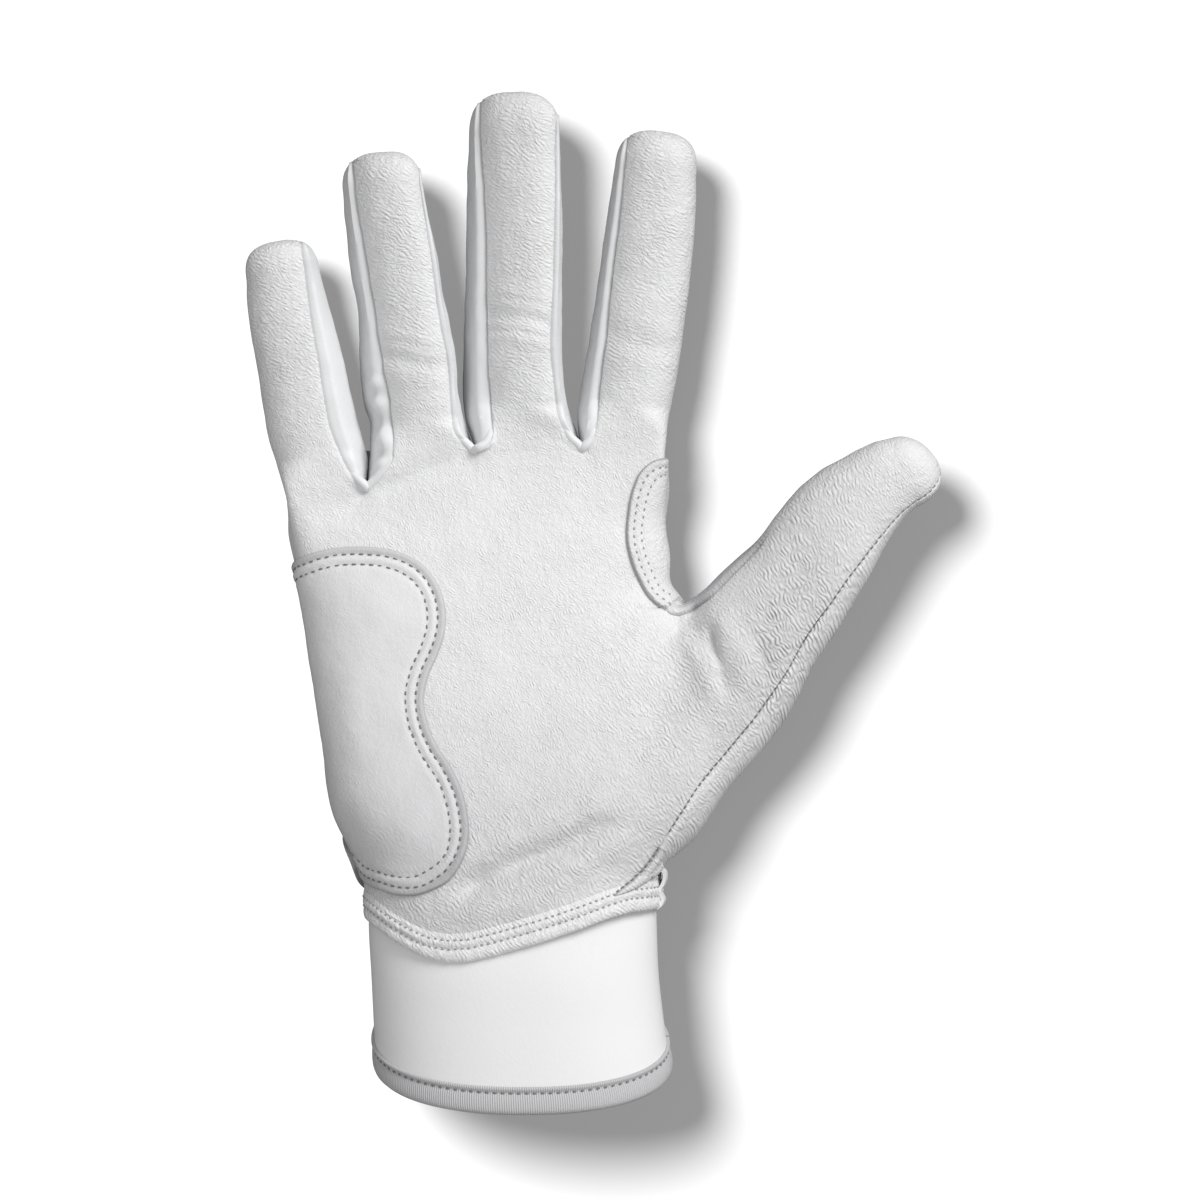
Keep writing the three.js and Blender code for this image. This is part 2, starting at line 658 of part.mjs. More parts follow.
const underFloor = plate([[-FAR, -FAR], [FAR, -FAR], [FAR, FAR], [-FAR, FAR]], 0);
const foldAngle = STRAP_START - strapGap / 2;
const foldStart = palmLimb(foldAngle, strapStart, strapOuter);
const foldEnd = palmLimb(foldAngle, strapEnd, strapOuter);
const strapPivot = foldStart.clone().lerp(foldEnd, 0.5);
const strapHinge = addHinge(glove, strapPivot, foldEnd.clone().sub(foldStart).normalize());
const strap = palmWall(STRAP_START, STRAP_END, strapStart, strapEnd, strapOuter, strapInner)
  .subtract(underFloor);
addPiece(strapHinge, "wrist_strap", strap, "smoothLeather");
const hookPatch = palmWall(HOOK_START, STRAP_END, closureStart, closureEnd, hookOuter, pileOuter - LAYER_GAP);
addPiece(strapHinge, "hook_patch", hookPatch, "tape");
const tabFrom = STRAP_END + strapGap;
const tabOuter = strapInner - PULL_TAB;
const pullTab = palmWall(tabFrom, PULL_TAB_END, closureStart, closureEnd, tabOuter, strapInner)
  .subtract(underFloor);
addPiece(strapHinge, "strap_pull_tab", pullTab, "rubber");

// Fingers: a lower and an upper length, each with a front, a back and the fourchettes that it has.
function fingerPieces(name, finger, group, part, start, end) {
  const limb = fingerLimb(finger);
  const isTip = end >= finger.length;
  const gap = seamAngle(finger.tipDepth / 2);
  const sheetEnd = isTip ? finger.length - TIP_CAP : end;
  const steps = isTip ? UPPER_STEPS : LOWER_STEPS;
  const sheet = (from, to, last) => wall(limb, from, to, evenMarks(start, last, steps), 0, LEATHER);
  const sideEnd = isTip ? sheetEnd - SEAM_GAP : sheetEnd;
  const thumbSeam = finger.thumbSeam ?? BACK_SEAM_THUMB_SIDE;
  const littleSeam = finger.littleSeam ?? BACK_SEAM_LITTLE_SIDE;
  let front = sheet(thumbSeam, littleSeam, sheetEnd + (isTip ? SEAM_GAP : 0));
  if (isTip) {
    const tip = core(limb, evenMarks(sheetEnd, finger.length, TIP_STEPS), 0)
      .subtract(core(limb, evenMarks(sheetEnd - JOINT_GAP, finger.length, TIP_STEPS), LEATHER));
    front = front.add(tip);
  }
  addPiece(group, `${name}_${part}_front`, front, "leather");
  const back = sheet(BACK_SEAM_LITTLE_SIDE + gap, 360 + BACK_SEAM_THUMB_SIDE - gap, sideEnd);
  addPiece(group, `${name}_${part}_back`, back, "leather");
  if (finger.thumbSeam !== null) {
    const strip = sheet(BACK_SEAM_THUMB_SIDE, finger.thumbSeam - gap, sideEnd);
    addPiece(group, `${name}_${part}_thumb_side_fourchette`, strip, "fourchette");
  }
  if (finger.littleSeam !== null) {
    const strip = sheet(finger.littleSeam + gap, BACK_SEAM_LITTLE_SIDE, sideEnd);
    addPiece(group, `${name}_${part}_little_side_fourchette`, strip, "fourchette");
  }
}

// A finger's hinges lie on its palm side, so that a bend opens its back.
function fingerPivot(finger, place) {
  return fingerLimb(finger)(PALM_MIDDLE_ANGLE, place, -LAYER_GAP);
}

for (const [name, finger] of Object.entries(FINGERS)) {
  const { across } = fingerAxes(finger);
  const lower = addHinge(glove, fingerPivot(finger, -JOINT_GAP / 2), across);
  const upper = addHinge(lower, fingerPivot(finger, finger.bend), across);
  fingerPieces(name, finger, lower, "lower", 0, finger.bend - JOINT_GAP / 2);
  fingerPieces(name, finger, upper, "upper", finger.bend + JOINT_GAP / 2, finger.length);
}

// Thumb: sections that fan out from its root line.
const rootSection = {
  crotch: THUMB_CROTCH,
  outer: THUMB_HEEL,
  depth: THUMB_ROOT_DEPTH,
  height: THUMB_ROOT_HEIGHT,
};
const thumbSections = [rootSection, ...THUMB_SECTIONS];
const thumbLast = thumbSections.length - 1;
const thumbMarks = thumbSections.map((_, i) => i);

function thumbEdges(place) {
  const low = thumbSections[Math.min(thumbLast - 1, Math.max(0, Math.floor(place)))];
  const high = thumbSections[thumbSections.indexOf(low) + 1];
  const share = place - thumbSections.indexOf(low);
  const mixPoint = (key) => new THREE.Vector3(...low[key], 0).lerp(new THREE.Vector3(...high[key], 0), share);
  return {
    crotch: mixPoint("crotch"),
    outer: mixPoint("outer"),
    depth: lerp(low.depth, high.depth, share),
    height: lerp(low.height, high.height, share),
  };
}

// The place along the thumb counts sections, and the last one rounds off to the tip.
function thumbLimb(angle, place, inset) {
  const past = Math.max(0, place - thumbLast);
  const { crotch, outer, depth, height } = thumbEdges(Math.min(place, thumbLast));
  const across = outer.clone().sub(crotch);
  const halfWidth = across.length() / 2;
  across.normalize();
  const ahead = new THREE.Vector3(-across.y, across.x, 0);
  const [sideways, upwards] = ovalShares(angle);
  return crotch
    .add(outer)
    .multiplyScalar(0.5)
    .addScaledVector(ahead, past * (THUMB_TIP_ROUND - inset))
    .addScaledVector(across, sideways * (halfWidth - inset) * roundedEnd(past))
    .setZ(height + upwards * (depth / 2 - inset) * roundedEnd(past));
}

function thumbPieces(group, part, start, end) {
  const isTip = end > thumbLast;
  const capStart = thumbLast + 1 - TIP_CAP / THUMB_TIP_ROUND;
  const sheetEnd = isTip ? capStart : end;
  const overlap = isTip ? SEAM_GAP / THUMB_TIP_ROUND : 0;
  const gap = seamAngle(THUMB_SECTIONS[THUMB_BEND_SECTION].depth / 2);
  const sheet = (from, to, last) => wall(thumbLimb, from, to, stops(start, last, thumbMarks), 0, LEATHER);
  let front = sheet(THUMB_FRONT_SEAM, THUMB_BACK_SEAM, sheetEnd + overlap);
  if (isTip) {
    const tip = core(thumbLimb, evenMarks(capStart, end, TIP_STEPS), 0)
      .subtract(core(thumbLimb, evenMarks(capStart - overlap, end, TIP_STEPS), LEATHER));
    front = front.add(tip);
  }
  addPiece(group, `thumb_${part}_front`, front, "leather");
  const backStart = THUMB_BACK_SEAM + gap;
  const back = sheet(backStart, 360 + THUMB_FRONT_SEAM - gap, sheetEnd - overlap);
  addPiece(group, `thumb_${part}_back`, back, "leather");
}

// The thumb's root hinge runs over the highest point of the palm along the root line.
const palmHeights = evenMarks(0, 1, ROOT_LINE_STEPS).map((share) => {
  const point = thumbHeel.clone().lerp(thumbCrotch, share);
  const section = sectionAt(palmSections, point.y);
  const offset = (2 * point.x - section.little - section.thumb) / (section.thumb - section.little);
  return section.height + (section.depth / 2) * roundedEnd(Math.abs(offset));
});
const thumbRootTop = Math.max(...palmHeights, THUMB_ROOT_HEIGHT + THUMB_ROOT_DEPTH / 2);
const thumbRootPivot = thumbHeel.clone().lerp(thumbCrotch, 0.5).setZ(thumbRootTop + LAYER_GAP);
const thumbLower = addHinge(glove, thumbRootPivot, thumbAxis.clone().negate());
const bendEdges = thumbEdges(THUMB_BEND_SECTION);
const thumbAcross = bendEdges.outer.clone().sub(bendEdges.crotch).normalize();
const thumbBendPivot = thumbLimb(PALM_MIDDLE_ANGLE, THUMB_BEND_SECTION, -LAYER_GAP);
const thumbUpper = addHinge(thumbLower, thumbBendPivot, thumbAcross);

// Half the gap of a joint, as a share of the way to the next section.
function halfGapAt(place) {
  const here = thumbLimb(PALM_MIDDLE_ANGLE, place, 0);
  return JOINT_GAP / 2 / here.distanceTo(thumbLimb(PALM_MIDDLE_ANGLE, place + 1, 0));
}
const bendGap = halfGapAt(THUMB_BEND_SECTION);
thumbPieces(thumbLower, "lower", halfGapAt(0), THUMB_BEND_SECTION - bendGap);
thumbPieces(thumbUpper, "upper", THUMB_BEND_SECTION + bendGap, thumbLast + 1);

export default glove;
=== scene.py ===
import math
import bpy
import bmesh
import numpy as np
from contextlib import contextmanager
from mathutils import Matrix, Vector, geometry, noise


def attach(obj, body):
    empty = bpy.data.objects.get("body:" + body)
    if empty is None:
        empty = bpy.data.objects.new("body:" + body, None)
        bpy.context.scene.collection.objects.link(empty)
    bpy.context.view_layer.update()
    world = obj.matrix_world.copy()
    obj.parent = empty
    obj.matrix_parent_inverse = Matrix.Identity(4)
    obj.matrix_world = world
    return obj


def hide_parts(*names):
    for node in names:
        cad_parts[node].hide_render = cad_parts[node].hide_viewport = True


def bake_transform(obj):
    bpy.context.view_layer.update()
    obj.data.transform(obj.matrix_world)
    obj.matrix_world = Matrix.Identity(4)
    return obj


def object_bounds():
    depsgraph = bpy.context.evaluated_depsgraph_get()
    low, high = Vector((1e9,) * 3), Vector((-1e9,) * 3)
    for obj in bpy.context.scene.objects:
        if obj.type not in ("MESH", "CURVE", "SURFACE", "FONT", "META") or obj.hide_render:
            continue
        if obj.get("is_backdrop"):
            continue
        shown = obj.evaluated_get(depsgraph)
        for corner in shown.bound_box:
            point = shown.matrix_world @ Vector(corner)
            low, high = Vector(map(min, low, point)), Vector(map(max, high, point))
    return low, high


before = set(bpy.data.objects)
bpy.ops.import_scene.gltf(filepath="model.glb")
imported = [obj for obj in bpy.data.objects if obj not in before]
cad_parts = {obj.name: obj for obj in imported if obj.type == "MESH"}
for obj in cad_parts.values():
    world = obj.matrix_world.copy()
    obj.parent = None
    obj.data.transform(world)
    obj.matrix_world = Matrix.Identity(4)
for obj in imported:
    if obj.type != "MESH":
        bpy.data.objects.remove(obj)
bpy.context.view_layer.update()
bpy.ops.object.select_all(action="DESELECT")

# Palm leather: one sheet of white pebbled leather over the palm, wrapped round both sides of the
# hand to the seams with the back. It is cut with four finger roots, and its lower edge is hemmed.
MM = 0.001  # every size below is in millimetres
LEATHER = 1.1
FAR = 99  # beyond the reach of any edge

# Each palm row: level, little-finger edge, thumb edge, depth, height of the middle, and how boxy the
# section is. The hem's points are seen from above.
PALM = [
    (-26, -35.6, 33.4, 39.0, 24.0, 2.3),
    (-14, -36.3, 33.3, 38.8, 23.9, 2.3),
    (-7, -37.0, 33.2, 38.5, 23.8, 2.3),
    (0, -37.7, 34.2, 37.6, 23.2, 2.3),
    (14, -43.8, 46.0, 35.6, 21.6, 2.5),
    (32, -46.7, 50.0, 33.2, 18.4, 2.6),
    (50, -49.6, 48.0, 31.0, 15.8, 2.7),
    (61, -51.4, 41.5, 29.6, 14.8, 2.8),
    (68, -52.7, 35.5, 28.4, 14.2, 3.0),
    (76, -54.2, 34.9, 26.8, 13.6, 3.1),
    (84, -55.7, 32.7, 25.2, 13.0, 3.2),
    (94, -56.0, 32.8, 23.9, 12.6, 3.3),
    (106, -55.8, 34.2, 22.5, 12.3, 3.4),
]
PALM_HEM = [
    (-37.5, -9.6), (-33.6, -12.4), (-30, -15.2), (-25.2, -18.0), (-21.6, -19.6), (-16.8, -20.4),
    (-12, -20.1), (-4.8, -18.4), (4.8, -15.7), (14.4, -12.6), (21.6, -10.0), (26.4, -8.7), (36, -8.0),
]
HEM_LEVEL = -15

# Angles go round a section in degrees, from the thumb side over the palm to the little-finger side.
SIDE_SEAM = 14
BACK_SEAMS = (-40, 220)
INDEX_TURN = 70  # the level at which the index side's seam starts to turn to the back
LITTLE_TURN = 58
SEAM_TURN = 28
THUMB_HEEL = np.array((33.4, 0.5))
THUMB_CROTCH = np.array((38.2, 62.0))
KNUCKLE_HEIGHT = 12.3
FINGER_RISE = math.radians(2.5)
FINGER_POWER = 2.15
ROOT_POWER = 9.85  # how much boxier a finger's section is at its root
TIP_POWER = 2.7

# Each finger: where its root is, its lean towards the thumb, its length and tip, its depth at both ends,
# where its middle joint and the cut between its two lengths are, how far along its root starts at each
# side, which side its front wraps round, how far it lies rolled to its little side, how far it falls away
# to the seam there, its columns, and rows of place, little edge, little seam, thumb seam, thumb edge.
FINGERS = {
    "index": dict(
        root=(24.95, 101.5), lean=6, length=76.6, tip=10, depth=(20, 16.5), bend=37, cut=21,
        start=(-0.9, -1.5), wraps=1, roll=0.12, bevel=0.7, columns=52,
        rows=[
            (-4, -10.0, -9.9, 9.9, 10.0), (-1.5, -10.0, -9.7, 9.9, 10.0), (0, -10.7, -8.0, 9.9, 9.9),
            (2, -11.2, -7.6, 9.9, 9.9), (4, -11.6, -7.5, 9.9, 9.9), (7, -11.9, -7.4, 9.9, 9.9),
            (11, -11.9, -7.4, 10.2, 10.2), (16, -11.6, -7.4, 10.6, 10.7), (24, -11.1, -7.2, 11.2, 11.2),
            (32, -10.7, -7.2, 11.4, 11.4), (40, -10.4, -7.3, 11.6, 11.6), (48, -10.1, -7.1, 11.5, 11.5),
            (56, -9.8, -6.9, 11.3, 11.3), (62, -9.5, -6.9, 10.9, 10.9), (67, -9.2, -7.0, 10.4, 10.4),
        ],
    ),
    "middle": dict(
        root=(-1.2, 101.5), lean=0, length=85.5, tip=10.5, depth=(20.5, 16.5), bend=41, cut=24,
        start=(-0.5, -0.9), wraps=0, roll=0.34, bevel=1.1, columns=36,
        rows=[
            (-4, -9.6, -9.4, 15.8, 16.1), (-0.7, -9.6, -9.3, 15.8, 16.1), (0, -9.9, -7.4, 15.3, 15.9),
            (2, -10.6, -5.9, 13.0, 15.3), (4, -11.3, -5.5, 12.0, 14.7), (7, -12.1, -5.7, 10.8, 13.5),
            (11, -12.6, -6.0, 10.1, 12.4), (16, -12.7, -6.5, 9.6, 11.7), (24, -12.5, -6.7, 8.9, 11.3),
            (32, -12.3, -7.0, 9.1, 11.3), (40, -12.0, -7.0, 9.5, 11.3), (48, -11.9, -7.0, 9.7, 11.4),
            (56, -11.8, -7.3, 9.9, 11.4), (62, -11.7, -7.6, 10.0, 11.1), (70, -11.4, -8.2, 10.0, 10.9),
            (76, -11.0, -8.6, 10.0, 10.7),
        ],
    ),
    "ring": dict(
        root=(-23.96, 97.4), lean=-7, length=75.8, tip=9, depth=(19.5, 16), bend=36, cut=20,
        start=(1.57, -4.37), wraps=0, roll=0.3, bevel=0.9, columns=34,
        rows=[
            (-5, -13.6, -13.3, 13.2, 13.4), (-4, -13.5, -13.0, 13.2, 13.4), (-2, -13.2, -10.4, 13.2, 13.4),
            (0, -12.8, -8.0, 13.2, 13.4), (2, -12.4, -6.6, 12.2, 13.3), (4, -11.9, -6.2, 10.8, 12.7),
            (7, -11.5, -5.8, 9.4, 12.2), (11, -11.0, -5.7, 9.2, 11.5), (16, -11.9, -5.6, 9.5, 11.1),
            (24, -11.9, -6.1, 9.9, 11.6), (32, -11.1, -6.3, 9.3, 11.2), (40, -10.6, -6.5, 9.1, 10.4),
            (48, -11.2, -6.9, 9.0, 10.3), (56, -11.1, -7.2, 8.7, 9.5), (62, -10.9, -7.5, 8.4, 9.0),
            (67, -10.6, -7.6, 8.2, 8.7),
        ],
    ),
    "little": dict(
        root=(-46.58, 89.5), lean=-10, length=62.8, tip=8, depth=(17.5, 14.5), bend=29, cut=15,
        start=(0.2, 0.9), wraps=-1, roll=0.06, bevel=0, columns=50,
        rows=[
            (-4, -9.7, -9.7, 9.6, 9.8), (0.3, -9.4, -9.4, 9.6, 9.8), (2, -9.4, -9.4, 8.3, 10.2),
            (4, -9.7, -9.7, 7.2, 10.7), (7, -10.1, -10.1, 6.3, 11.3), (11, -10.7, -10.7, 5.2, 11.1),
            (16, -11.4, -11.4, 4.2, 10.6), (24, -11.3, -11.3, 3.9, 10.1), (32, -11.1, -11.1, 4.1, 9.8),
            (40, -11.1, -11.1, 4.1, 9.1), (48, -10.8, -10.8, 4.4, 8.3), (55, -9.9, -9.9, 4.9, 7.8),
        ],
    ),
}
NEIGHBOURS = (("index", "middle"), ("middle", "ring"), ("ring", "little"))


def ease(share):
    """A share from 0 to 1 that starts and stops gently."""
    share = np.clip(share, 0, 1)
    return share * share * (3 - 2 * share)


def table_at(table, place):
    """Smooth values of a table's columns at places along its first column."""
    table = np.asarray(table, float)
    marks = table[:, 0]
    place = np.clip(np.asarray(place, float), marks[0], marks[-1])
    low = np.clip(np.searchsorted(marks, place) - 1, 0, len(marks) - 2)
    step = marks[low + 1] - marks[low]
    t = (place - marks[low]) / step
    values = []
    for column in table[:, 1:].T:
        slope = np.gradient(column, marks)
        start = (2 * t**3 - 3 * t**2 + 1) * column[low] + (t**3 - 2 * t**2 + t) * step * slope[low]
        end = (3 * t**2 - 2 * t**3) * column[low + 1] + (t**3 - t**2) * step * slope[low + 1]
        values.append(start + end)
    return values


def oval(angle, power):
    """Width and depth shares of a rounded section at an angle in degrees."""
    wide, deep = np.cos(np.radians(angle)), np.sin(np.radians(angle))
    return np.sign(wide) * np.abs(wide) ** (2 / power), np.sign(deep) * np.abs(deep) ** (2 / power)


def oval_angle(share, power):
    """The angle on the palm side of a rounded section at a share of its half width."""
    return np.degrees(np.arccos(np.sign(share) * np.abs(np.clip(share, -1, 1)) ** (power / 2)))


def run_along(points):
    """How far along a line each of its points lies."""
    return np.concatenate([[0], np.cumsum(np.linalg.norm(np.diff(points, axis=0), axis=1))])


def points_at(places, marks, points):
    """Points at places among the marks of a line's points."""
    return np.stack([np.interp(places, marks, points[:, k]) for k in range(3)], -1)


def resampled(points, shares):
    """Points at shares of the length of a dense line."""
    run = run_along(points)
    return points_at(np.asarray(shares) * run[-1], run, points)


def arc(point, start, end, shares, dense=700):
    """Points at even shares of an arc of a section, from one angle to another."""
    return resampled(point(np.linspace(start, end, dense)), shares)


def evened(line):
    """A line with every point but its ends moved towards its neighbours."""
    line = line.copy()
    line[1:-1] = (line[:-2] + 2 * line[1:-1] + line[2:]) / 4
    return line


def palm_point(angle, level):
    """Points of the hand at angles round it and levels."""
    left, right, depth, height, power = table_at(PALM, level)
    wide, deep = oval(angle, power)
    x = (left + right) / 2 + wide * (right - left) / 2
    return np.stack([x, level + 0 * x, height + deep * depth / 2], -1)


def palm_arc(level, start, end, shares):
    """Points at shares of the way round the hand at a level, from one angle to another."""
    return arc(lambda a: palm_point(a, np.full_like(a, level)), start, end, shares)


def finger_axes(finger):
    """The ways across a finger, along it and out of its front."""
    lean = math.radians(finger["lean"])
    across = np.array((math.cos(lean), -math.sin(lean), 0))
    level = np.array((math.sin(lean), math.cos(lean), 0))
    along = level * math.cos(FINGER_RISE) + np.array((0, 0, math.sin(FINGER_RISE)))
    return across, along, np.cross(across, along)


def spine(finger, place):
    """The point of a finger's axis at a place along it."""
    return np.array((*finger["root"], KNUCKLE_HEIGHT)) + finger_axes(finger)[1] * place


def finger_power(place):
    """How boxy a finger's section is at a place along it."""
    return FINGER_POWER + ROOT_POWER * (1 - ease((place + 1) / 12))


def finger_edges(finger, place):
    """A finger's edges and seams at a place along it; on the rounded tip they are those where it starts."""
    return table_at(finger["rows"], np.minimum(place, finger["length"] - finger["tip"]))


def finger_end(finger, place):
    """How much of a finger's width and depth is left on its rounded tip."""
    past = np.clip((place - finger["length"] + finger["tip"]) / finger["tip"], 0, 1)
    return (1 - past**TIP_POWER) ** (1 / TIP_POWER)


def finger_point(finger, angle, place):
    """Points of a finger at angles round it and places along it."""
    across, along, up = finger_axes(finger)
    left, little_seam, _, right = finger_edges(finger, place)
    depth = np.interp(place, (0, finger["length"] - finger["tip"]), finger["depth"])
    end = finger_end(finger, place)
    wide, deep = oval(angle, finger_power(place))
    out = wide * (right - left) / 2 * end
    side = (left + right) / 2 + out
    rise = deep * depth / 2 * end + finger["roll"] * ease((place - 1) / 14) * out
    fall = np.clip(1 - (side - little_seam) / 6, 0, 1.3) ** 2 * ease(3 * deep)
    rise = rise - finger["bevel"] * fall * ease((place - 3) / 10) * end
    moves = ((side, across), (place + 0 * side, along), (rise, up))
    return sum((np.multiply.outer(far, way) for far, way in moves), spine(finger, 0))


def finger_arc(finger, place, start, end, shares, dense=700):
    """Points at shares of the way round a finger at a place, from one angle to another."""
    return arc(lambda a: finger_point(finger, a, np.full_like(a, place)), start, end, shares, dense)


def finger_seams(finger, place):
    """Angles of the thumb-side and little-side edges of a finger's front at a place along it."""
    left, little_seam, thumb_seam, right = finger_edges(finger, place)
    middle = (left + right) / 2
    half = (right - left) / 2 * np.maximum(finger_end(finger, place), 0.05)
    on_tip = ease((place - finger["length"] + finger["tip"]) / 2)
    angles = []
    for seam, wraps, back in (
        (thumb_seam, finger["wraps"] > 0, BACK_SEAMS[0]), (little_seam, finger["wraps"] < 0, BACK_SEAMS[1])
    ):
        share = (seam - middle) / half
        under = ease((np.abs(share) - 0.93) / 0.2) * on_tip
        angle = oval_angle(np.clip(share, -0.995, 0.995), finger_power(place))
        angles.append(back + 0 * angle if wraps else angle + (back - angle) * under)
    return angles


# The finger roots, from the thumb side to the little-finger side, are the palm sheet's upper edge. Near a
# notch each root keeps almost the height of its highest point.
NOTCH_DROP = 0.35
NOTCH_REACH = 5
roots = {}
for name, finger in FINGERS.items():
    shares = np.linspace(0, 1, finger["columns"] + 1)
    ends = [finger_seams(finger, place) for place in finger["start"]]
    start, end = float(ends[0][0]), float(ends[1][1])
    rows = [finger_arc(finger, place, start, end, shares) for place in finger["start"]]
    root = rows[0] + (rows[1] - rows[0]) * shares[:, None]
    run = run_along(root)
    near = np.minimum(run if finger["wraps"] <= 0 else FAR, run[-1] - run if finger["wraps"] >= 0 else FAR)
    root[:, 2] += (root[:, 2].max() - NOTCH_DROP - root[:, 2]) * (1 - ease(near / NOTCH_REACH))
    roots[name] = root
for first, second in NEIGHBOURS:
    crotch = (roots[first][-1] + roots[second][0]) / 2
    roots[first][-1] = crotch
    roots[second][0] = crotch
palm_top = np.concatenate([roots["index"]] + [roots[name][1:] for name in ("middle", "ring", "little")])
palm_shares = run_along(palm_top) / run_along(palm_top)[-1]


def thumb_root_angle(level):
    """The angle at which the palm meets the thumb's root line, or its side seam beyond that line."""
    left, right, _, _, power = table_at(PALM, level)
    x = np.interp(level, (THUMB_HEEL[1], THUMB_CROTCH[1]), (THUMB_HEEL[0], THUMB_CROTCH[0]))
    angle = oval_angle((2 * x - left - right) / (right - left), power)
    beyond = ease((level - THUMB_CROTCH[1]) / 2.2) + ease((THUMB_HEEL[1] - level) / 2.2)
    side = -SIDE_SEAM + (BACK_SEAMS[0] + SIDE_SEAM) * ease((level - INDEX_TURN) / SEAM_TURN)
    return angle + (side - angle) * beyond


def little_side_angle(level):
    """The angle of the palm's seam with the back on the little-finger side."""
    return 180 + SIDE_SEAM + (BACK_SEAMS[1] - 180 - SIDE_SEAM) * ease((level - LITTLE_TURN) / SEAM_TURN)


# The sheet is laid over the hand column by column, from the hem to the roots. Below the roots it is
# pulled to them, and that pull is evened out across the hand more and more further down.
PALM_ROWS = 150
ROOT_BLEND = 24
PULL_STAGES = 400
levels = np.linspace(PALM[0][0], PALM[-1][0], 300)
strips = np.stack([
    palm_arc(level, thumb_root_angle(level), little_side_angle(level), palm_shares) for level in levels
])
pulls = [palm_top - np.stack([points_at(top[1], levels, strips[:, i]) for i, top in enumerate(palm_top)])]
for _ in range(PULL_STAGES):
    pulls.append(evened(pulls[-1]))
pulls = np.array(pulls)
palm = np.zeros((PALM_ROWS + 1, len(palm_shares), 3))
for i, top in enumerate(palm_top):
    bottom = np.interp(np.interp(HEM_LEVEL, levels, strips[:, i, 0]), *np.array(PALM_HEM).T)
    heights = np.linspace(bottom, top[1], PALM_ROWS + 1)
    below = (top[1] - heights) / ROOT_BLEND
    stage = (PULL_STAGES * np.clip(below / 0.7, 0, 1) ** 2).astype(int)
    palm[:, i] = points_at(heights, levels, strips[:, i]) + pulls[stage, i] * (1 - ease(below))[:, None]

# The thumb's front grows out of the same sheet. Each thumb row: section, crotch-side edge, outer
# edge, depth, height of the middle, and how far out the seam with its back is.
THUMB = [
    (0, 38.2, 62.0, 33.4, 0.5, 29.0, 18.2, 0.80),
    (1, 43.0, 65.2, 42.0, 7.7, 28.6, 18.3, 0.59),
    (2, 47.3, 69.0, 49.2, 18.5, 27.6, 18.5, 0.64),
    (3, 51.9, 73.0, 57.5, 28.0, 26.0, 18.8, 0.60),
    (4, 56.3, 77.8, 64.8, 37.9, 24.5, 19.0, 0.58),
    (5, 60.3, 83.6, 70.1, 48.7, 23.0, 19.2, 0.62),
    (6, 64.4, 88.8, 75.6, 56.9, 22.0, 19.5, 0.64),
    (7, 68.2, 92.9, 80.4, 64.8, 21.0, 19.8, 0.66),
    (8, 72.6, 96.3, 84.0, 70.9, 20.0, 20.0, 0.70),
    (9, 77.0, 98.6, 87.2, 77.0, 19.0, 20.4, 0.77),
    (10, 81.3, 100.9, 90.0, 81.6, 18.0, 20.8, 0.82),
    (11, 85.0, 102.6, 92.4, 84.7, 17.0, 21.1, 0.85),
    (12, 88.8, 103.6, 95.0, 87.1, 16.0, 21.4, 0.86),
]
THUMB_END = 12  # the last section, beyond which the tip is round
THUMB_TIP = 8.6
THUMB_ROUND = 2.0
THUMB_SKEW = 1.2
THUMB_POWER = 2.5
THUMB_CUT = 5  # the section at which its two lengths meet, and the row there
THUMB_CUT_ROW = 55
THUMB_BACK_SEAM = 194
THUMB_TIP_SEAM = -25
THUMB_COLUMNS = 72


def thumb_point(angle, section):
    """Points of the thumb at angles round it and sections along it."""
    cx, cy, ox, oy, depth, height, _ = table_at(THUMB, np.minimum(section, THUMB_END))
    wide, deep = oval(angle, THUMB_POWER)
    half = np.hypot(ox - cx, oy - cy) / 2
    across_x, across_y = (ox - cx) / (2 * half), (oy - cy) / (2 * half)
    past = np.clip(section - THUMB_END, 0, 1)
    end = (1 - past**THUMB_ROUND) ** (1 / THUMB_ROUND)
    out = wide * half * end + THUMB_SKEW * past**2
    x = (cx + ox) / 2 + across_x * out - across_y * THUMB_TIP * past
    y = (cy + oy) / 2 + across_y * out + across_x * THUMB_TIP * past
    return np.stack([x, y, height + deep * depth / 2 * end], -1)


def thumb_seam(section):
    """The angle of the thumb's seam, which runs on to the silhouette at the tip."""
    share = table_at(THUMB, np.minimum(section, THUMB_END))[-1]
    past = np.clip(section - THUMB_END, 0, 1)
    angle = oval_angle(share - 0.05 * past, THUMB_POWER)
    return angle + (THUMB_TIP_SEAM - angle) * ease((past - 0.9) / 0.1)


def thumb_panel(sections, low, high, shares):
    """Rows of points of the thumb between two angles at each section."""
    return np.stack([
        arc(lambda a: thumb_point(a, np.full_like(a, v)), lo, hi, shares, 400)
        for v, lo, hi in zip(sections, low, high)
    ])


def grid_normals(rows):
    """Normals of a sheet at the points of its rows."""
    along = np.gradient(rows, axis=0)
    across = np.gradient(rows, axis=1)
    normal = np.cross(along, across)
    return normal / np.maximum(np.linalg.norm(normal, axis=2, keepdims=True), 1e-9)


def nearest_on(line, points):
    """How far flat points are from a line, and the share of the line at which each is nearest."""
    nearest, at = np.full(points.shape[:-1], 1e9), np.zeros(points.shape[:-1])
    for number, (a, b) in enumerate(zip(line[:-1], line[1:])):
        run = b - a
        t = np.clip(((points - a) @ run) / (run @ run), 0, 1)
        away = np.linalg.norm(points - a - t[..., None] * run, axis=-1)
        at = np.where(away < nearest, (number + t) / (len(line) - 1), at)
        nearest = np.minimum(nearest, away)
    return nearest, at


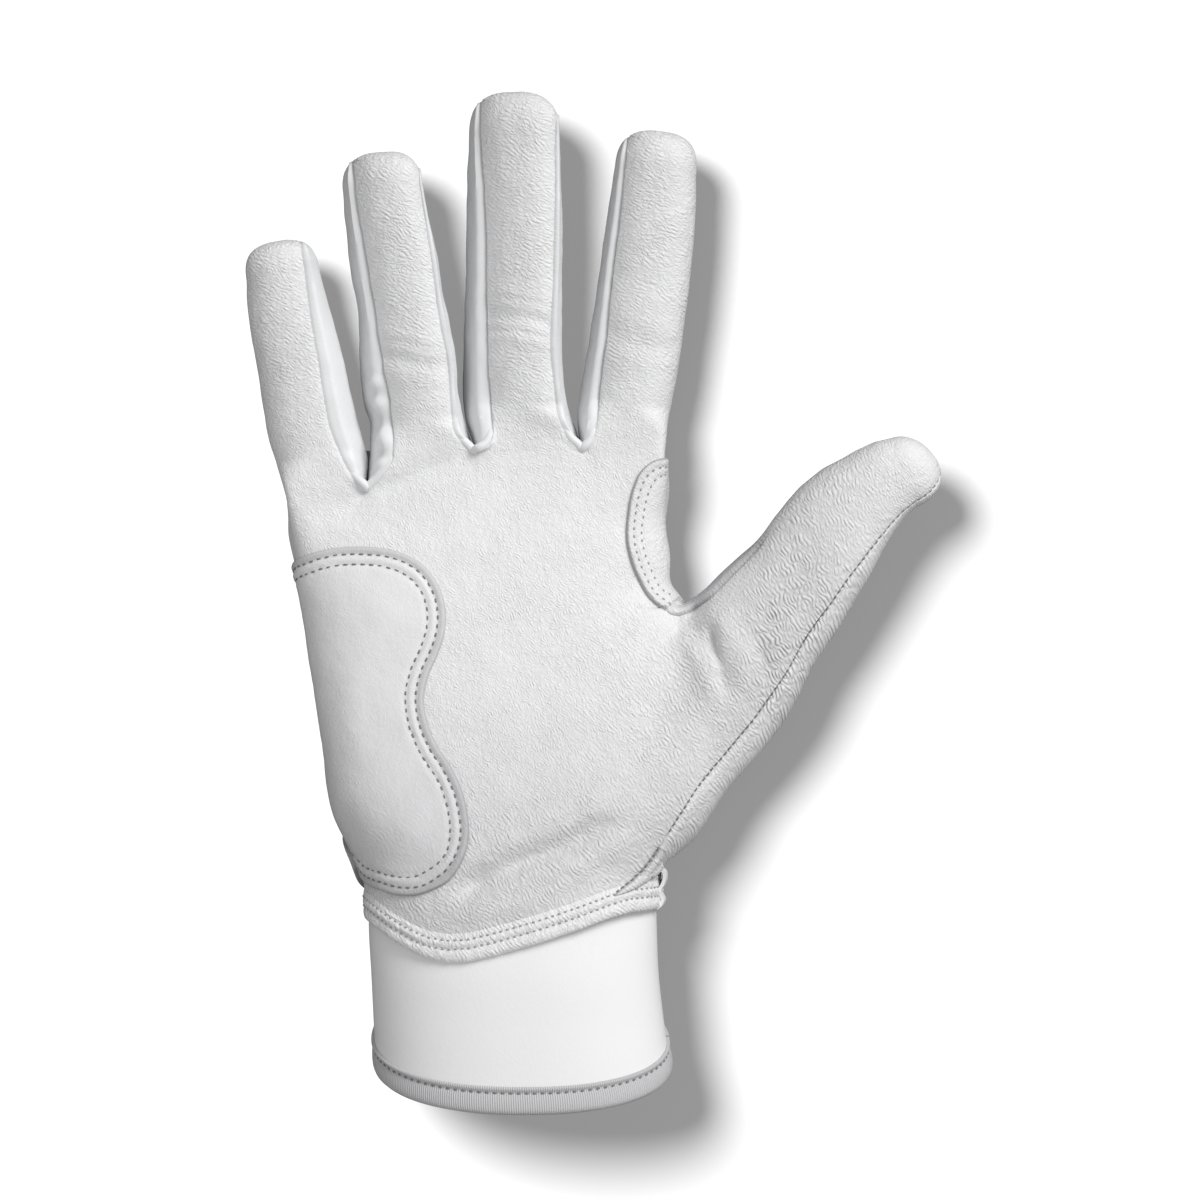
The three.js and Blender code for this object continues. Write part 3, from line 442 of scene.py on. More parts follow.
def levelled(points, wanted, reach):
    """Heights of the surface through points, evened out over a reach, at wanted flat places."""
    heights = np.zeros(len(wanted))
    for part in np.array_split(np.arange(len(wanted)), 1 + len(wanted) // 400):
        away = points[None, :, :2] - wanted[part, None]
        weight = np.exp(-(away**2).sum(-1) / (2 * reach**2))
        terms = np.concatenate([np.ones_like(away[..., :1]), away], axis=-1)
        square = np.einsum("qn,qni,qnj->qij", weight, terms, terms) + 1e-6 * np.eye(3)
        total = np.einsum("qn,qni,n->qi", weight, terms, points[:, 2])
        heights[part] = np.linalg.solve(square, total[..., None])[:, 0, 0]
    return heights


# The thumb's first row is sewn to the palm's edge between two levels.
JOIN_LEVELS = (6.4, 63.0)
JOIN_FADE = 1.7
lower_sections = np.linspace(0, THUMB_CUT, THUMB_CUT_ROW + 1)
upper_sections = np.linspace(THUMB_CUT, THUMB_END, 64)[1:]
dome = THUMB_END + np.sin(np.linspace(0, math.pi / 2, 12))[1:]
sections = np.concatenate([lower_sections, upper_sections, dome])
thumb_shares = np.linspace(0, 1, THUMB_COLUMNS + 1)
thumb_front = thumb_panel(sections, thumb_seam(sections), THUMB_BACK_SEAM + 0 * sections, thumb_shares)
joined = np.flatnonzero((palm[:, 0, 1] > JOIN_LEVELS[0]) & (palm[:, 0, 1] < JOIN_LEVELS[1]))
join_gap = resampled(palm[joined, 0], thumb_shares) - thumb_front[0]
thumb_front += (1 - ease(sections / JOIN_FADE))[:, None, None] * join_gap

# Both sheets are evened out as one surface beside the line where they meet.
JOIN_REACH = 4.0
JOIN_BAND = (3, 12)  # how far from the line it is full, and over how much more it fades
JOIN_TOP = (54, 6)  # the level from which it fades upwards, and over how much
meeting = palm[joined, 0, :2]


def near_join(rows):
    """How much of the evening-out each point of a sheet's rows takes."""
    flat = rows.reshape(-1, 3)
    facing = ease((grid_normals(rows)[..., 2].ravel() - 0.55) / 0.2)
    near = (1 - ease((nearest_on(meeting, flat[:, :2])[0] - JOIN_BAND[0]) / JOIN_BAND[1])) * facing
    return near * (1 - ease((flat[:, 1] - JOIN_TOP[0]) / JOIN_TOP[1]))


sheets = [(rows.reshape(-1, 3), near_join(rows)) for rows in (palm, thumb_front)]
level_points = np.concatenate([flat[near > 0] for flat, near in sheets])
for flat, near in sheets:
    beside = near > 0
    level = levelled(level_points, flat[beside, :2], JOIN_REACH)
    flat[beside, 2] += (level - flat[beside, 2]) * near[beside]
thumb_front[0] = resampled(palm[joined, 0], thumb_shares)

# Folds of the worn leather: lines along which the sheet dips, each with a half width and a depth.
FOLDS = [
    ([(43.0, 61.0), (45.0, 56.5), (46.7, 51.9), (48.5, 46.4), (51.2, 39.0)], 2.1, 1.6),
    ([(44.4, 58.5), (46.6, 53), (48.4, 47.5)], 0.8, 0.5),
    ([(55.2, 58.8), (57.1, 53.3), (58.6, 48.5), (59.5, 43.2)], 2.0, 0.6),
    ([(40.3, 60.6), (37.2, 57.0), (33.0, 53.6)], 1.2, 0.6),
    ([(-38.5, 124.2), (-34.1, 123.4), (-26.4, 122.0), (-16.8, 120.8), (-13, 120.4)], 2.0, 0.5),
    ([(-37, 128), (-33.0, 127.2), (-26, 126), (-19.2, 125.4), (-15.5, 125.1)], 0.9, 0.2),
    ([(-12, 134.6), (-7.7, 133.6), (0, 131.9), (7.9, 131.0), (12, 130.6)], 2.0, 0.5),
    ([(-10, 137.7), (-6, 137.2), (0, 136.4), (6.4, 135.2), (10, 134.6)], 0.9, 0.2),
    ([(18.5, 129.3), (22.5, 128), (29, 125.6), (36, 124.8), (40, 124.4)], 2.2, 0.35),
    ([(-50.4, 82.8), (-36, 90), (-22, 96), (-9.6, 100.8)], 2.5, 0.5),
    (
        [(-19, -7.0), (-14, -4.5), (-9.6, -2.4), (-2, 1.6), (6, 4.8), (14.4, 8.4), (22, 12.5), (28, 16)],
        2.8, 2.5,
    ),
    ([(-12, -9.5), (-4, -6), (4, -3.2), (12, 0)], 1.6, 0.55),
    ([(2, 9), (10, 12.5), (18, 17)], 1.4, 0.4),
    ([(-10, 129.8), (-6.5, 129.5), (-1, 129), (5, 127.5), (9, 126.6)], 0.8, 0.3),
]
FOLD_FADE = 0.32  # the share of a fold's length over which each end runs out
UNEVEN = 0.16


def swell(points, size, seed):
    """Soft unevenness of a stretched sheet, from -1 to 1."""
    flat = points.reshape(-1, 3) / size + seed
    return np.array([noise.noise(Vector(p)) for p in flat]).reshape(points.shape[:-1])


def folds(points):
    """How far the folds push points of a sheet out: down in each fold and a little up beside it."""
    depth = np.zeros(points.shape[:-1])
    flat = points[..., :2] + np.stack([swell(points, 6.0, 1.3), swell(points, 6.0, 9.1)], -1) * 0.7
    uneven = 0.9 + 0.4 * swell(points, 7.0, 4.4)
    for line, width, fall in FOLDS:
        nearest, at = nearest_on(np.array(line, float), flat)
        share = nearest / width
        ends = ease(np.minimum(at, 1 - at) / FOLD_FADE)
        depth += ends * uneven * fall * (0.35 * np.exp(-((share - 2.2) / 1.1) ** 2) - np.exp(-(share**2)))
    return depth


def worn(rows):
    """A sheet's rows with its folds and unevenness pressed in along its normals."""
    normals = grid_normals(rows)
    push = folds(rows)[..., None] * ease(normals[..., 2:3] * 1.6)
    push = push + UNEVEN * swell(rows, 7.0, 3.1)[..., None] + 0.5 * UNEVEN * swell(rows, 2.8, 8.7)[..., None]
    return rows + normals * push


def grain_at(x, y):
    """Which way the hide's ripples lie and how strong they are: most on the ball of the thumb, on the thumb
    beyond it, on the fingers and at the heel of the hand."""
    ball = np.exp(-((x - 46) ** 2 + (y - 42) ** 2) / 36**2)
    out = ease((x - 50) / 12) * (1 - 0.65 * ease((x - 76) / 16))
    finger = ease((y - 98) / 24) * (1 - ease((x - 46) / 8))
    lie = np.radians(38 - 14 * out + 24 * finger)
    return lie, 0.55 + 0.8 * ball + 0.75 * out + 0.65 * finger + 0.7 * ease((34 - y) / 34)


def add_mesh(name, points, faces, rest=None, seam=None):
    """A smooth piece from points in millimetres. It keeps where its grain was cut, which way that grain lies
    and how strong it is, and how much each point is darkened towards grey: painted shade along sewn edges, at
    patch edges, in fold valleys and over the heel of the hand, and the greyer tone of cut borders."""
    mesh = bpy.data.meshes.new(name)
    mesh.from_pydata((np.asarray(points) * MM).tolist(), [], [list(map(int, f)) for f in faces])
    rest = np.asarray(points if rest is None else rest, np.float32).reshape(-1, 3)
    mesh.attributes.new("rest", "FLOAT_VECTOR", "POINT").data.foreach_set("vector", rest.ravel())
    lie, strength = grain_at(rest[:, 0], rest[:, 1])
    for key, values in (("lie", lie), ("strength", strength), ("seam", seam)):
        if values is not None:
            kept = mesh.attributes.new(key, "FLOAT", "POINT")
            kept.data.foreach_set("value", np.asarray(values, np.float32).ravel())
    mesh.polygons.foreach_set("use_smooth", [True] * len(mesh.polygons))
    piece = bpy.data.objects.new(name, mesh)
    bpy.context.scene.collection.objects.link(piece)
    return piece


def running_total(steps):
    """The total of each row's steps so far, from 0."""
    return np.concatenate([np.zeros((len(steps), 1)), np.cumsum(steps, axis=1)], axis=1)


def laid_out(rows):
    """Where the points of a sheet's rows would lie if its steep sides were rolled out from its highest
    line."""
    steps = np.diff(rows, axis=1)
    steep = np.maximum(np.linalg.norm(steps, axis=2) / 1.12 - np.linalg.norm(steps[..., :2], axis=2), 0)
    run = running_total(steep)
    top = int(np.argmax(rows[: len(rows) // 2 + 1, :, 2].mean(axis=0)))
    way = rows[:, -1, :2] - rows[:, 0, :2]
    way = way / np.maximum(np.linalg.norm(way, axis=1, keepdims=True), 1e-6)
    flat = rows[..., :2] + (run - run[:, top : top + 1])[..., None] * way[:, None]
    return np.concatenate([flat, np.zeros_like(flat[..., :1])], axis=-1)


def apply_modifier(piece, kind, **settings):
    """Adds a modifier with its settings and applies it."""
    modifier = piece.modifiers.new(kind.lower(), kind)
    for key, value in settings.items():
        setattr(modifier, key, value)
    with bpy.context.temp_override(object=piece, active_object=piece):
        bpy.ops.object.modifier_apply(modifier=modifier.name)


@contextmanager
def reworked(piece):
    """A piece's mesh opened for changes and put back after them."""
    work = bmesh.new()
    work.from_mesh(piece.data)
    yield work
    work.to_mesh(piece.data)
    work.free()


def thicken(piece, thickness):
    """Gives a sheet its thickness on the inner side, with a crisp rim."""
    apply_modifier(piece, "SOLIDIFY", thickness=thickness * MM, offset=-1, use_even_offset=False)
    with reworked(piece) as work:
        for edge in work.edges:
            edge.smooth = len(edge.link_faces) != 2 or edge.calc_face_angle() < 0.9


def add_sheet(name, rows, thickness, rest=None, closed=False, seam=None):
    """A sheet through rows of points, thickened on its inner side."""
    rows = np.asarray(rows)
    count, width = rows.shape[:2]
    index = np.arange(count * width).reshape(count, width)
    if closed:
        index = np.concatenate([index, index[:, :1]], axis=1)
    faces = np.stack([index[:-1, :-1], index[1:, :-1], index[1:, 1:], index[:-1, 1:]], -1).reshape(-1, 4)
    flat = np.asarray(laid_out(rows) if rest is None else rest).reshape(-1, 3)
    piece = add_mesh(name, rows.reshape(-1, 3), faces, flat, seam)
    with reworked(piece) as work:
        bmesh.ops.remove_doubles(work, verts=work.verts, dist=2e-6)
        bmesh.ops.dissolve_degenerate(work, edges=work.edges, dist=1e-7)
    if thickness:
        thicken(piece, thickness)
    return piece


class Finish:
    """A material made node by node. Arithmetic on the wires that it gives adds Math nodes."""

    def __init__(self, name):
        self.material = bpy.data.materials.new(name)
        self.material.use_nodes = True
        self.tree = self.material.node_tree
        self.tree.nodes.clear()

    def node(self, kind, settings=None, sockets=None, out=0):
        """Adds a node with its settings, fills or links its sockets, and gives a wire from one output."""
        made = self.tree.nodes.new(kind)
        for key, value in (settings or {}).items():
            setattr(made, key, value)
        for key, value in (sockets or {}).items():
            if isinstance(value, Wire):
                self.tree.links.new(value.socket, made.inputs[key])
            else:
                made.inputs[key].default_value = value
        return Wire(self, made.outputs[out]) if len(made.outputs) else made

    def place(self):
        """Where each point of the piece was cut from its sheet, in millimetres."""
        return self.node("ShaderNodeAttribute", {"attribute_name": "rest"}, None, 1)

    def kept(self, name):
        """A number that the piece's mesh keeps at each point."""
        return self.node("ShaderNodeAttribute", {"attribute_name": name}, None, 2)

    def mix(self, factor, first, second):
        """A colour between two colours."""
        sockets = {0: factor, 6: first, 7: second}
        return self.node("ShaderNodeMix", {"data_type": "RGBA"}, sockets, 2)

    def relief(self, height):
        """Normals of a relief with a height in millimetres."""
        return self.node("ShaderNodeBump", None, {"Strength": 1.0, "Distance": MM, "Height": height})

    def shader(self, **sockets):
        """Closes the material with a surface whose sockets have these values or wires."""
        names = {key.replace("_", " ").title(): value for key, value in sockets.items()}
        names = {key.replace("Ior", "IOR"): value for key, value in names.items()}
        surface = self.node("ShaderNodeBsdfPrincipled", None, names)
        self.node("ShaderNodeOutputMaterial", None, {"Surface": surface})
        return self.material


class Wire:
    """An output of a material's node."""

    def __init__(self, finish, socket):
        self.finish, self.socket = finish, socket

    def math(self, operation, first, second):
        return self.finish.node("ShaderNodeMath", {"operation": operation}, {0: first, 1: second})

    def __add__(self, other):
        return self.math("ADD", self, other)

    def __radd__(self, other):
        return self.math("ADD", other, self)

    def __sub__(self, other):
        return self.math("SUBTRACT", self, other)

    def __rsub__(self, other):
        return self.math("SUBTRACT", other, self)

    def __mul__(self, other):
        return self.math("MULTIPLY", self, other)

    def __rmul__(self, other):
        return self.math("MULTIPLY", other, self)

    def __abs__(self):
        return self.math("ABSOLUTE", self, 0)


# The grain: a coarse and a fine train of ripples, each with its scale, waves and straightness, and
# pebbles that are longer one way than the other.
RIPPLES = ((0.44, 1.15, 0.66), (0.66, 1.15, 0.4))
PEBBLE_TURN = math.radians(-50)
PEBBLE_STRETCH = (0.75, 1.15, 1)
# The grey towards which painted shade, and the greyer tone of cut borders, darken the leather.
PAINTED_SHADE_AND_BORDER_GREY = (0.22, 0.22, 0.23, 1)


def leather(name, colour, shade, ripple, pebble, roughness):
    """White leather: trains of fine ripples across the hide's stretch over a pebbled grain, with painted
    shade in the low ground between the ripples. Each point's seam number darkens it further towards grey:
    painted shade along seams and edges, in fold valleys and over the heel of the hand, and the greyer tone of
    cut borders. Ripples and pebbles are given by their heights."""
    finish = Finish(name)
    trains = []
    for scale, waves, lined in RIPPLES:
        sockets = {"Vector": finish.place(), 1: scale, 2: waves, 3: lined, 4: finish.kept("lie")}
        trains.append(abs(finish.node("ShaderNodeTexGabor", {"gabor_type": "2D"}, sockets) - 0.5))
    coarse, fine = trains
    strong = finish.kept("strength")
    ridges = 2 * (fine + (coarse - fine) * (0.7 * strong - 0.25))
    turn = {"Vector": finish.place(), "Angle": PEBBLE_TURN}
    turned = finish.node("ShaderNodeVectorRotate", {"rotation_type": "Z_AXIS"}, turn)
    grain = finish.node("ShaderNodeVectorMath", {"operation": "MULTIPLY"}, {0: turned, 1: PEBBLE_STRETCH})
    cells = finish.node(
        "ShaderNodeTexVoronoi", {"feature": "SMOOTH_F1"}, {"Vector": grain, "Scale": 1.0, "Smoothness": 0.4}
    )
    patches = finish.node("ShaderNodeTexNoise", None, {"Vector": grain, "Scale": 0.09, "Detail": 3.0})
    strength = strong * (0.4 + 1.2 * patches)
    tone = finish.mix(patches, colour, shade)
    # Painted shade: the low ground between the ripples, where the relief dips, is darkened towards a deeper
    # grey.
    deep = tuple(0.72 * v for v in shade[:3]) + (1,)
    tone = finish.mix((1 - 2.5 * ridges) * strength * min(1.0, ripple), tone, deep)
    return finish.shader(
        # painted shade and the grey of cut borders, by each point's seam number
        base_color=finish.mix(finish.kept("seam") * 0.7, tone, PAINTED_SHADE_AND_BORDER_GREY),
        roughness=roughness + 0.12 * cells,
        specular_ior_level=0.4,
        normal=finish.relief(ripple * ridges * strength - pebble * cells),
    )


def painted_heel_and_thumb_shade(points):
    """How much painted shade darkens the heel of the palm and the thumb: more towards the wrist and across
    the thumb.
    """
    x, y = points[..., 0], points[..., 1]
    return np.maximum(0.3 * ease((58 - y) / 50), 0.2 * ease((x - 34) / 14) * (1 - ease((x - 70) / 14)))


def dress(piece, material, slot, *nodes):
    """Gives a piece its finish and hides the frame's nodes that it stands for; the slot is not used."""
    piece.data.materials.clear()
    piece.data.materials.append(material)
    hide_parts(*nodes)
    return piece


palm_leather = leather(
    "palm leather", (0.86, 0.86, 0.865, 1), (0.83, 0.83, 0.84, 1), ripple=0.36, pebble=0.13, roughness=0.5
)
palm = worn(palm)
# Painted shade darkens the heel of the palm and the thumb.
palm_sheet = add_sheet("palm_sheet", palm, LEATHER, seam=painted_heel_and_thumb_shade(palm))
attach(dress(palm_sheet, palm_leather, "palm_leather", "palm_panel"), "hand")

# Finger fronts: the palm leather runs on up each finger and folds over its tip. The edges are turned
# under where the side strips are sewn on; the index and little fingers' outer sides need no strip.
ROLL = 0.6
FRONT_STEP = 0.6
FRONT_CAP = 5  # the end of the tip, where the rows lie closer together
STITCH_PITCH = 2.1
BOTH_SIDES = (True, True)


def edge_distance(rows, sides):
    """How far each point of a sheet's rows is from its first or last column, where that is sewn."""
    start = running_total(np.linalg.norm(np.diff(rows, axis=1), axis=2))
    return np.minimum(start if sides[0] else FAR, start[:, -1:] - start if sides[1] else FAR)


def rounded(share):
    """The height of a quarter round, from 0 at its edge to 1."""
    return np.sqrt(np.clip(1 - (1 - np.clip(share, 0, 1)) ** 2, 0, 1))


def rolled(rows, sides, fade, roll=ROLL, pucker=0.12):
    """Rows of a sheet with its sewn edges turned down and lightly gathered by the stitches."""
    inner = edge_distance(rows, sides)
    drop = roll * (1 - rounded(inner / roll))
    gather = pucker * swell(rows * (1, 1, 0.5), 1.1, 2.2) * np.exp(-((inner / 1.6) ** 2))
    return rows + grid_normals(rows) * ((gather - drop) * fade)[..., None]


def seam_shade(rows, sides, width=0.3):
    """Painted shade along a sheet's sewn edges, darkest where each stitch pulls the leather in."""
    run = run_along(rows[:, rows.shape[1] // 2])[:, None]
    nick = 0.27 + 0.24 * np.cos(2 * math.pi * run / STITCH_PITCH)
    return nick * np.exp(-((edge_distance(rows, sides) / width) ** 2))


def even_places(start, end):
    """Places along a finger, about one step apart."""
    return np.linspace(start, end, max(3, int(round((end - start) / FRONT_STEP))) + 1)


def places_to_tip(finger, start, cap, count):
    """Places along a finger to the pole of its tip, closer together on the cap."""
    straight = finger["length"] - cap
    lower, upper = even_places(start, finger["cut"]), even_places(finger["cut"], straight)[1:]
    on_cap = straight + cap * np.sin(np.linspace(0, math.pi / 2, count))[1:]
    return np.concatenate([lower, upper, on_cap])


def blend_finger(piece, name, part):
    """Works out where a finger's piece would bend, at the knuckle or at the middle joint, and bakes the
    piece's placement into its mesh.
    """
    finger = FINGERS[name]
    if part == "lower":
        reach = (max(finger["start"]) + 0.2, finger["cut"] - 0.5)
    else:
        reach = (finger["cut"] + 0.5, finger["bend"] + 12)
    start, end = (tuple(spine(finger, place) * MM) for place in reach)
    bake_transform(piece)


def add_lengths(name, kind, node, places, rows, shade, wall, finish, slot):
    """A finger's sheet, in its lower and upper length."""
    cut = int(np.argmin(np.abs(places - FINGERS[name]["cut"])))
    for part, span in (("lower", slice(0, cut + 1)), ("upper", slice(cut, None))):
        piece = add_sheet(f"{name}_{part}_{kind}", rows[span], wall, seam=shade[span])
        dress(piece, finish, slot, f"{name}_{part}_{node}")
        blend_finger(piece, name, part)


def slanted_row(finger, place, late, low, high, shares):
    """A row of a finger's front, which starts further up on one side than on the other."""
    angles = np.linspace(low, high, 400)
    run = run_along(finger_point(finger, angles, np.full_like(angles, place)))
    slant = np.interp(run / max(run[-1], 1e-6), (0, 1), finger["start"])
    return resampled(finger_point(finger, angles, place + late * slant), shares)


fronts = {}
first_column = 0
for name, finger in FINGERS.items():
    shares = np.linspace(0, 1, finger["columns"] + 1)
    places = places_to_tip(finger, 0, FRONT_CAP, 10)
    fade = 1 - ease(places / 12)
    thumb_angle = finger_seams(finger, places + finger["start"][0] * fade)[0]
    little_angle = finger_seams(finger, places + finger["start"][1] * fade)[1]
    rows = np.stack([
        slanted_row(finger, place, late, low, high, shares)
        for place, late, low, high in zip(places, fade, thumb_angle, little_angle)
    ])
    rows += (1 - ease(places / 6))[:, None, None] * (roots[name] - rows[0])
    free = ease(places / 1.5)[:, None]
    rows = rolled(rows, BOTH_SIDES, free)
    rows[1:] = worn(rows)[1:]
    last_column = first_column + finger["columns"]
    rows[0] = palm[-1, first_column : last_column + 1]
    first_column = last_column
    fronts[name] = rows
    shade = seam_shade(rows, BOTH_SIDES) * free
    add_lengths(name, "face", "front", places, rows, shade, LEATHER, palm_leather, "palm_leather")

# Fourchettes and finger backs: smooth white strips between the fingers, sewn to the fronts along
# a turned seam, and the plain leather backs that close each finger.
STRIP_WALL = 0.9
STRIP_CAP = 1.6
STRIP_SHARES = np.linspace(0, 1, 23) ** 1.25
STRIP_SINK = 0.3
STRIP_RIM = 0.42  # the share of a strip's rise that is its level turned edge
TUCK = (0.7, 0.25)  # how far in and down the strip's first point goes under the front
BACK_SHARES = np.linspace(0, 1, 19)
BACK_START = -3.0
BACK_ROLL = 0.9
smooth_leather = leather(
    "smooth leather", (0.83, 0.835, 0.845, 1), (0.79, 0.795, 0.8, 1), ripple=0.05, pebble=0.02, roughness=0.42
)


def side_strip(name, place, thumb_side):
    """A row of a side strip, from the seam with the front, round the finger's side, to the back seam."""
    finger = FINGERS[name]
    across, along, up = finger_axes(finger)
    seam = float(finger_seams(finger, np.array(place))[0 if thumb_side else 1])
    back, level, turn = (BACK_SEAMS[0], 0, 1) if thumb_side else (BACK_SEAMS[1], 180, -1)

    def point(angle):
        return finger_point(finger, angle, np.full_like(angle, place))

    if (seam > level) == thumb_side and abs(seam - level) > 0.5:
        middle = spine(finger, place)
        top, edge = point(np.array([seam, float(level)])) - middle
        sewn = fronts[name][:20, (0, 2) if thumb_side else (-1, -3)] - spine(finger, 0)
        marks = np.maximum.accumulate(sewn[:, 0] @ along)
        rooted = 1 - ease((place - 4) / 4)
        start = top @ across + (np.interp(place, marks, sewn[:, 0] @ across) - top @ across) * rooted
        height = top @ up + (np.interp(place, marks, sewn[:, 1] @ up) - top @ up) * rooted
        way = max((edge @ across - start) * turn, 0.4)
        rim = STRIP_RIM * way
        out = np.linspace(0, way, 120)
        fall = np.clip((out - rim) / (way - rim), 0, 1)
        rise = edge @ up + max(height - STRIP_SINK - edge @ up, 0.2) * (1 - fall**1.25)
        side = start + turn * np.append(-TUCK[0], out)
        rise = np.append(rise[0] - TUCK[1], rise)
        upper = middle + np.multiply.outer(side, across) + np.multiply.outer(rise, up)
        line = np.concatenate([upper, point(np.linspace(level, back, 80))[1:]])
    else:
        line = point(np.linspace(seam, back, 120))
    row = resampled(line, STRIP_SHARES)
    return row[::-1] if thumb_side else row


def bulged(rows, places, name, thumb_side):
    """The strip's turned edge swells beside its seam, and the ring finger's slack strip gathers in soft
    folds. Gives the rows and how much painted shade darkens them, along the seam and in the valleys of the
    folds."""
    inner = edge_distance(rows, (not thumb_side, thumb_side))
    push = 0.16 * np.exp(-(((inner - 1.6) / 0.8) ** 2)) + 0.14 * swell(rows, 4.0, 6.4)
    # Painted shade along the seam.
    dark = 0.3 * np.exp(-((np.maximum(inner - 0.75, 0) / 0.22) ** 2))
    if name == "ring" and not thumb_side:
        slack = ease((places + 2) / 4) * ease((27 - places) / 9)
        wave = np.sin(places * 0.95 + 0.8 * np.sin(places * 0.31))
        gather = (slack * wave)[:, None] * np.exp(-(((inner - 4.2) / 2.4) ** 2))
        push = push + 0.6 * gather
        # Painted shade in the valleys of the slack folds.
        dark = dark + 0.25 * np.maximum(-gather, 0)
    return rows + grid_normals(rows) * push[..., None], dark


for name, finger in FINGERS.items():
    places = places_to_tip(finger, min(finger["start"]) - FRONT_STEP, STRIP_CAP, 6)
    for side, needed in (("thumb", finger["wraps"] <= 0), ("little", finger["wraps"] >= 0)):
        if needed:
            rows = np.array([side_strip(name, place, side == "thumb") for place in places])
            rows, shade = bulged(rows, places, name, side == "thumb")
            add_lengths(
                name, f"{side}_strip", f"{side}_side_fourchette", places, rows, shade, STRIP_WALL,
                smooth_leather, "fourchette_leather",
            )
    places = np.concatenate([np.arange(BACK_START, places[0] - FRONT_STEP / 2, FRONT_STEP), places])
    rows = np.stack([
        finger_arc(finger, place, BACK_SEAMS[1], 360 + BACK_SEAMS[0], BACK_SHARES, 400) for place in places
    ])
    rows = rolled(rows, BOTH_SIDES, np.ones((len(places), 1)), BACK_ROLL)
    shade = seam_shade(rows, BOTH_SIDES)
    add_lengths(name, "rear", "back", places, rows, shade, LEATHER, palm_leather, "palm_leather")


def smooth_line(points, step):
    """A smooth line through points, with points about one step apart."""
    points = np.asarray(points, float)
    marks = run_along(points)
    places = np.linspace(0, marks[-1], max(2, int(round(marks[-1] / step))) + 1)
    return np.stack(table_at(np.column_stack([marks, points]), places), -1)


# Round each notch the side strips of two fingers are one turned edge, which goes down into the gap.
# Each point of its section: how far into the gap and how far down it is.
NOTCH_WALL = 0.6
NOTCH_ROWS = 16
NOTCH_EVENINGS = 14
NOTCH_EDGE = [
    (-0.4, 0.4), (-0.1, 0.14), (0.2, 0.02), (0.45, 0.1), (0.62, 0.4), (0.7, 1.0), (0.72, 2.5), (0.7, 4.5),
    (0.65, 7.0),
]
UP = np.array((0, 0, 1))
for first, second in NEIGHBOURS:
    sides = (fronts[first][:NOTCH_ROWS, -1], fronts[second][:NOTCH_ROWS, 0])
    line = resampled(np.concatenate([sides[0][::-1], sides[1][1:]]), np.linspace(0, 1, 90))
    for _ in range(NOTCH_EVENINGS):
        line = evened(line)
    travel = np.gradient(line, axis=0)[:, :2]
    travel /= np.linalg.norm(travel, axis=1, keepdims=True)
    inward = np.column_stack([travel[:, 1], -travel[:, 0], 0 * travel[:, 0]])
    from_end = np.minimum(np.arange(len(line)), np.arange(len(line))[::-1])
    sunk = 1 - ease(from_end / 26)
    rows = np.array([
        line + inward * (out * (1 - 0.8 * sunk))[:, None] - UP * (drop + 0.9 * sunk)[:, None]
        for out, drop in NOTCH_EDGE
    ])[::-1]
    inner = edge_distance(rows.transpose(1, 0, 2), (False, True)).T
    # Painted shade along the notch's upper edge, where it meets the finger fronts.
    piece = add_sheet(f"{first}_{second}_notch", rows, NOTCH_WALL, seam=0.3 * np.exp(-((inner / 0.5) ** 2)))
    dress(piece, smooth_leather, "fourchette_leather", f"{first}_lower_little_side_fourchette")
    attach(piece, "hand")

# Thumb: a front sheet that grows out of the palm, and a back sheet that wraps round the outer side
# and is sewn to the front along a raised line of dashes.

THUMB_ROLL = 0.7
BACK_PUCKER = 0.3


def blend_thumb(piece):
    """Bakes a piece's placement into its mesh."""
    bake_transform(piece)


seam_line = thumb_front[:, 0].copy()
thumb_front = worn(rolled(thumb_front, BOTH_SIDES, ease(sections / 0.3)[:, None], THUMB_ROLL))
thumb_front[0] = resampled(palm[joined, 0], thumb_shares)
back_shares = np.linspace(0, 1, 61)
thumb_back = thumb_panel(sections, THUMB_BACK_SEAM + 0 * sections, 360 + thumb_seam(sections), back_shares)
thumb_back += (seam_line - thumb_back[:, -1])[:, None] * ease(np.linspace(-1.5, 1, 61))[:, None]
tucked = thumb_back[0] - (thumb_back[1] - thumb_back[0]) * 2
thumb_back = np.concatenate([tucked[None], thumb_back])
thumb_back = rolled(thumb_back, BOTH_SIDES, np.ones((len(thumb_back), 1)), THUMB_ROLL, BACK_PUCKER)
for part, front, back in (
    ("lower", thumb_front[: THUMB_CUT_ROW + 1], thumb_back[: THUMB_CUT_ROW + 2]),
    ("upper", thumb_front[THUMB_CUT_ROW:], thumb_back[THUMB_CUT_ROW + 1 :]),
):
    # The thumb's face takes painted shade across the thumb; its back takes none.
    for kind, node, rows, grey in (("face", "front", front, painted_heel_and_thumb_shade(front)), ("rear", "back", back, 0)):
        piece = add_sheet(f"thumb_{part}_{kind}", rows, LEATHER, seam=seam_shade(rows, BOTH_SIDES) + grey)
        blend_thumb(dress(piece, palm_leather, "palm_leather", f"thumb_{part}_{node}"))

